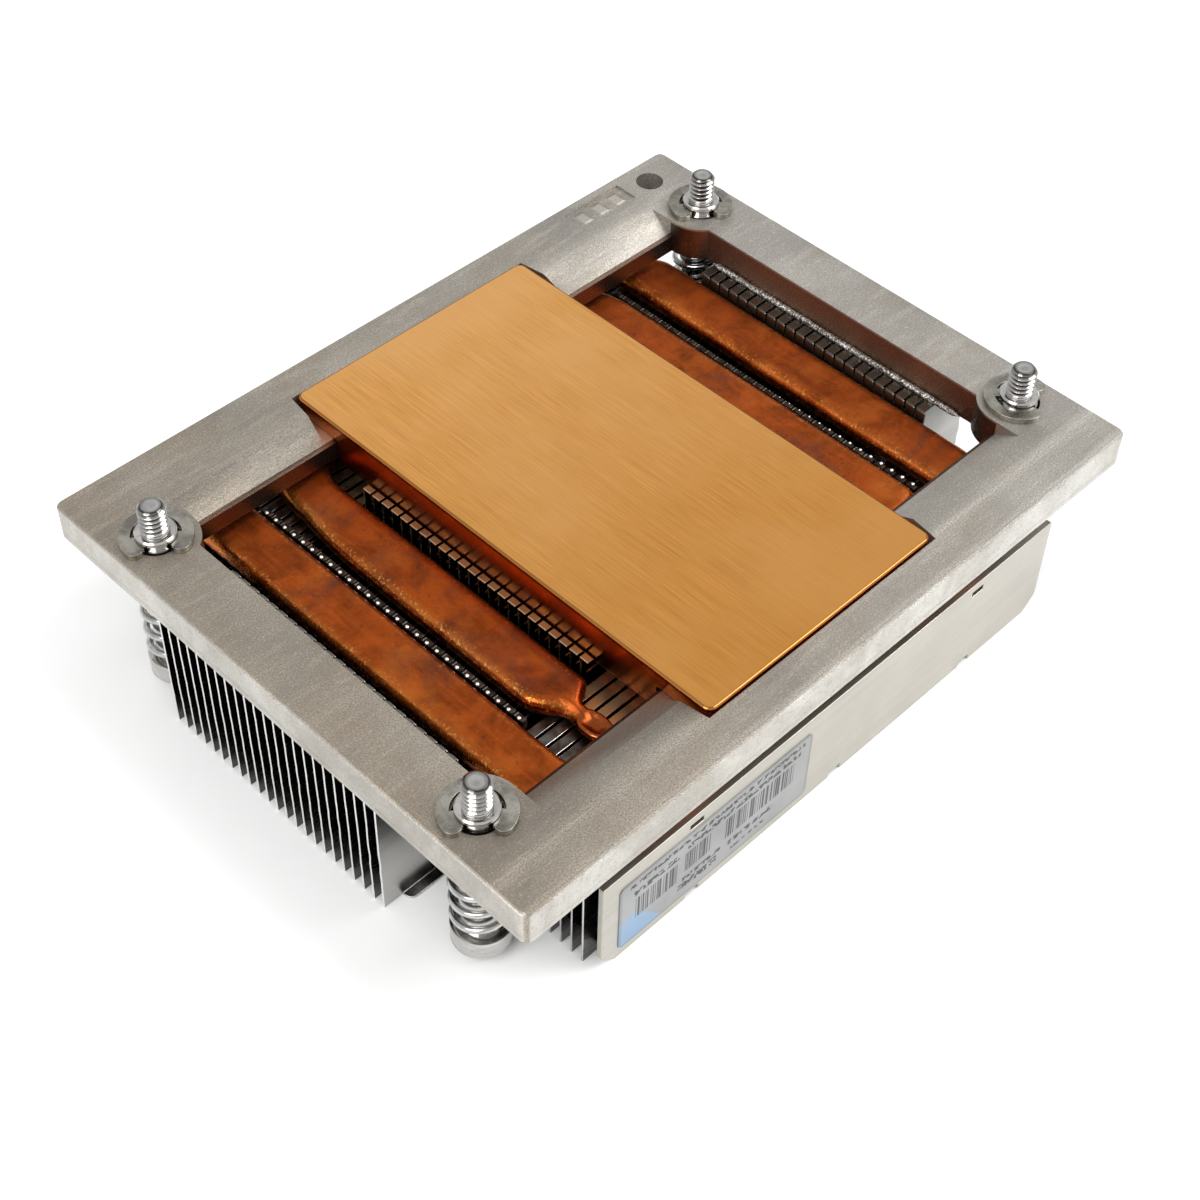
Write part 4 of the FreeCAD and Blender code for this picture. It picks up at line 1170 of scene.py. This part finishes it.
class HEATSINK_OT_rib_folds(bpy.types.Operator):
    """Build the small folds on the low ribs and the seats' ends, each rib fold with a bright bead on its
    corner, a painted highlight
    """
    bl_idname = "heatsink.rib_folds"
    bl_label = "Rib folds"

    def execute(self, context):
        sizes = settings().fins
        tops = np.array([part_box(node)[1].y for node in sorted(frame["nodes"]) if node.startswith("long_fin")])
        pitch = (tops[0] - tops[-1]) / (tops.size - 1)
        far = sum(2 for node in frame["nodes"] if node.startswith("far_short_fins"))
        tab_gap, plate_gap, plate_width = 0.30 * MM, 0.22 * MM, 0.28 * MM
        fade_start, fade_length, least_bead = 6.0 * MM, 26.0 * MM, 0.12
        tall = (sizes.rib_top - sizes.rib_foot) / 2
        high = (sizes.underside - sizes.rib_foot) / 2
        tab = fold_rings(sizes.rib_width / 2 + 0.03 * MM, (pitch - tab_gap) / 2, tall, 0.2)
        bead = fold_rings(sizes.highlight_bead_width / 2, 0.55 * sizes.highlight_bead_width, 0.45 * sizes.highlight_bead_width, 1.0)
        plate = fold_rings(plate_width / 2, (pitch - plate_gap) / 2, high - 0.1 * MM, 0.2)

        def between(first, past):
            """Places along Y halfway between fins, by their numbers from the far side."""
            return tops[0] + (far - 0.5 - np.arange(first, past)) * pitch

        for name, side, beyond in (("front", -1, 0), ("back", 1, 4)):
            y, seat_y = between(sizes.first_fold, far + tops.size + beyond), between(far, far + tops.size)
            # On the back rib the beads, and their painted highlight, shrink towards +Y.
            fade = (fade_start - y) / fade_length if side > 0 else np.ones(y.size)
            tab_x = side * (sizes.rib_outside - sizes.rib_width / 2)
            bead_x = side * (sizes.rib_outside - 0.3 * sizes.highlight_bead_width)
            beads = bead * np.clip(fade, least_bead, 1)[:, None, None, None]
            for title, maker, form, places in (
                    ("rib_tabs_", rib_metal, tab, (tab_x, y, sizes.rib_foot + tall)),
                    ("rib_highlight_beads_", highlight_bead_metal, beads, (bead_x, y, sizes.rib_top - 0.02 * MM)),
                    ("seat_end_folds_", fold_metal, plate,
                     (side * sizes.land_side, seat_y, sizes.rib_foot + high))):
                show(copies_of(form, *places), title + name, [maker], "stack", 60.0)
        return {"FINISHED"}


class HEATSINK_OT_rough_strip(bpy.types.Operator):
    """Build the rough strip along the foot of the back end bar's inner wall, a sum of seeded waves"""
    bl_idname = "heatsink.rough_strip"
    bl_label = "Rough strip"

    def execute(self, context):
        sizes = settings().fins
        y = np.linspace(-sizes.strip_reach, sizes.strip_reach, 241)[:, None]
        turn = np.linspace(0, 2 * math.pi, 12, endpoint=False)[None, :]
        pace = np.array([3.1, 5.3, 8.9, 13.7, 19.1, 29.3])[:, None, None] / (6.0 * MM)
        start = np.random.default_rng(2).uniform(0, 2 * math.pi, pace.shape)
        lumps = 1 + 0.025 * np.sin(pace * y[None] + start + 2.0 * turn[None]).sum(0)
        ends = np.clip((sizes.strip_reach - np.abs(y)) / (1.0 * MM), 0.15, 1)
        wide = (sizes.strip_outside - sizes.strip_inside) / 2
        across = (sizes.strip_inside + sizes.strip_outside) / 2 + wide * lumps * ends * np.cos(turn)
        height = sizes.underside + sizes.strip_height * (0.42 + 0.58 * lumps * ends * np.sin(turn))
        mesh = skinned(np.stack([across, y * np.ones_like(turn), height], -1))
        show(mesh, "rough_strip_back", [pitted_metal], "stack", 60.0)
        return {"FINISHED"}


class HEATSINK_OT_covers(bpy.types.Operator):
    """Round the edges of the two end covers"""
    bl_idname = "heatsink.covers"
    bl_label = "End covers"

    def execute(self, context):
        for side in ("far_side", "label_side"):
            width = settings().edges.sheet
            piece = softened_copy(side + "_cover", side + "_sheet", width, [cover_metal], "stack")
        return {"FINISHED"}


class HEATSINK_OT_label(bpy.types.Operator):
    """Finish the foil label with plain fields, bars and lines"""
    bl_idname = "heatsink.label"
    bl_label = "Label"

    def execute(self, context):
        node = frame["nodes"]["label"]
        node.data.materials.clear()
        node.data.materials.append(finish_named(label_foil))
        return {"FINISHED"}


# Stage

def pale_floor():
    """Even, pale and dull, with faint clouds."""
    tone = settings().colours.floor
    finish = Finish("pale_floor", 0.0)
    cloud = finish.noise(14, 3, 0.5)
    return finish.made(finish.mix(cloud, shade(tone, 0.985), tone), 0.85)


# Lamps in metres: name, place, point aimed at, width, and share of the key light's power
LAMPS = (("key", (0.30, -0.28, 0.50), (0, 0, 0.02), 0.45, 1.0),
         ("side", (-0.45, -0.05, 0.40), (0, 0, 0.01), 0.40, 0.67))


def soft_light(name, place, aim, size, power):
    data = bpy.data.lights.new(name, "AREA")
    data.shape = "DISK"
    data.size = size
    data.energy = power
    light = bpy.data.objects.new(name, data)
    light.location = place
    light.rotation_mode = "QUATERNION"
    light.rotation_quaternion = (Vector(aim) - Vector(place)).to_track_quat("-Z", "Y")
    bpy.context.scene.collection.objects.link(light)


class HEATSINK_OT_stage(bpy.types.Operator):
    """Make the pale floor, the soft light and the camera"""
    bl_idname = "heatsink.stage"
    bl_label = "Stage"

    def execute(self, context):
        stage = settings().stage
        mesh = bpy.data.meshes.new("floor")
        corners = [(x * stage.floor_reach, y * stage.floor_reach, 0)
                   for x, y in ((-1, -1), (1, -1), (1, 1), (-1, 1))]
        mesh.from_pydata(corners, [], [(0, 1, 2, 3)])
        floor = bpy.data.objects.new("floor", mesh)
        bpy.context.scene.collection.objects.link(floor)
        mesh.materials.append(pale_floor())

        world = bpy.data.worlds.new("studio")
        world.use_nodes = True
        sky = world.node_tree.nodes["Background"]
        sky.inputs["Color"].default_value = (1.0, 1.0, 1.0, 1.0)
        sky.inputs["Strength"].default_value = stage.sky
        bpy.context.scene.world = world
        for name, place, aim, size, share in LAMPS:
            soft_light(name, place, aim, size, stage.key * share)

        across, up = stage.azimuth, stage.elevation
        back = Vector((math.cos(up) * math.sin(across), -math.cos(up) * math.cos(across), math.sin(up)))
        right = (-back).cross(Vector((0, 0, 1))).normalized()
        level = right.cross(-back)
        tilted = right * math.cos(stage.roll) + level * math.sin(stage.roll)
        upward = level * math.cos(stage.roll) - right * math.sin(stage.roll)
        data = bpy.data.cameras.new("camera")
        data.sensor_width = 36.0
        data.lens = stage.lens
        data.shift_x = stage.shift_x
        data.shift_y = stage.shift_y
        data.clip_start = 0.01
        data.clip_end = 20.0
        camera = bpy.data.objects.new("camera", data)
        turn = Matrix((tilted, upward, back)).transposed()
        camera.matrix_world = Matrix.Translation(Vector(stage.target) + back * stage.distance) @ turn.to_4x4()
        bpy.context.scene.collection.objects.link(camera)
        bpy.context.scene.camera = camera
        bpy.context.scene.view_settings.view_transform = "Standard"
        return {"FINISHED"}


OPERATORS = (
    HEATSINK_OT_mounting_frame, HEATSINK_OT_base_block, HEATSINK_OT_heat_pipes, HEATSINK_OT_fins,
    HEATSINK_OT_rib_folds, HEATSINK_OT_rough_strip, HEATSINK_OT_covers, HEATSINK_OT_label,
    HEATSINK_OT_captive_screws, HEATSINK_OT_springs, HEATSINK_OT_clips, HEATSINK_OT_stage,
)


class HEATSINK_PT_panel(bpy.types.Panel):
    """Sidebar panel that lists the pieces"""
    bl_idname = "HEATSINK_PT_panel"
    bl_label = "Heat sink"
    bl_space_type = "VIEW_3D"
    bl_region_type = "UI"
    bl_category = "Heat sink"

    def draw(self, context):
        for operator in OPERATORS:
            self.layout.operator(operator.bl_idname)
        for name in HeatSinkSettings.__annotations__:
            sizes = getattr(settings(), name)
            box = self.layout.box()
            for title in sizes.__annotations__:
                box.prop(sizes, title)


CLASSES = (HeatSinkColours, HeatPipeSizes, FastenerSizes, FinSizes, StageSettings, EdgeSizes,
           HeatSinkSettings, *OPERATORS, HEATSINK_PT_panel)


def register():
    for item in CLASSES:
        bpy.utils.register_class(item)
    bpy.types.Scene.heat_sink = bpy.props.PointerProperty(type=HeatSinkSettings)


def unregister():
    del bpy.types.Scene.heat_sink
    for item in reversed(CLASSES):
        bpy.utils.unregister_class(item)


def main():
    register()
    for operator in OPERATORS:
        family, name = operator.bl_idname.split(".")
        getattr(getattr(bpy.ops, family), name)()


if __name__ == "__main__":
    main()
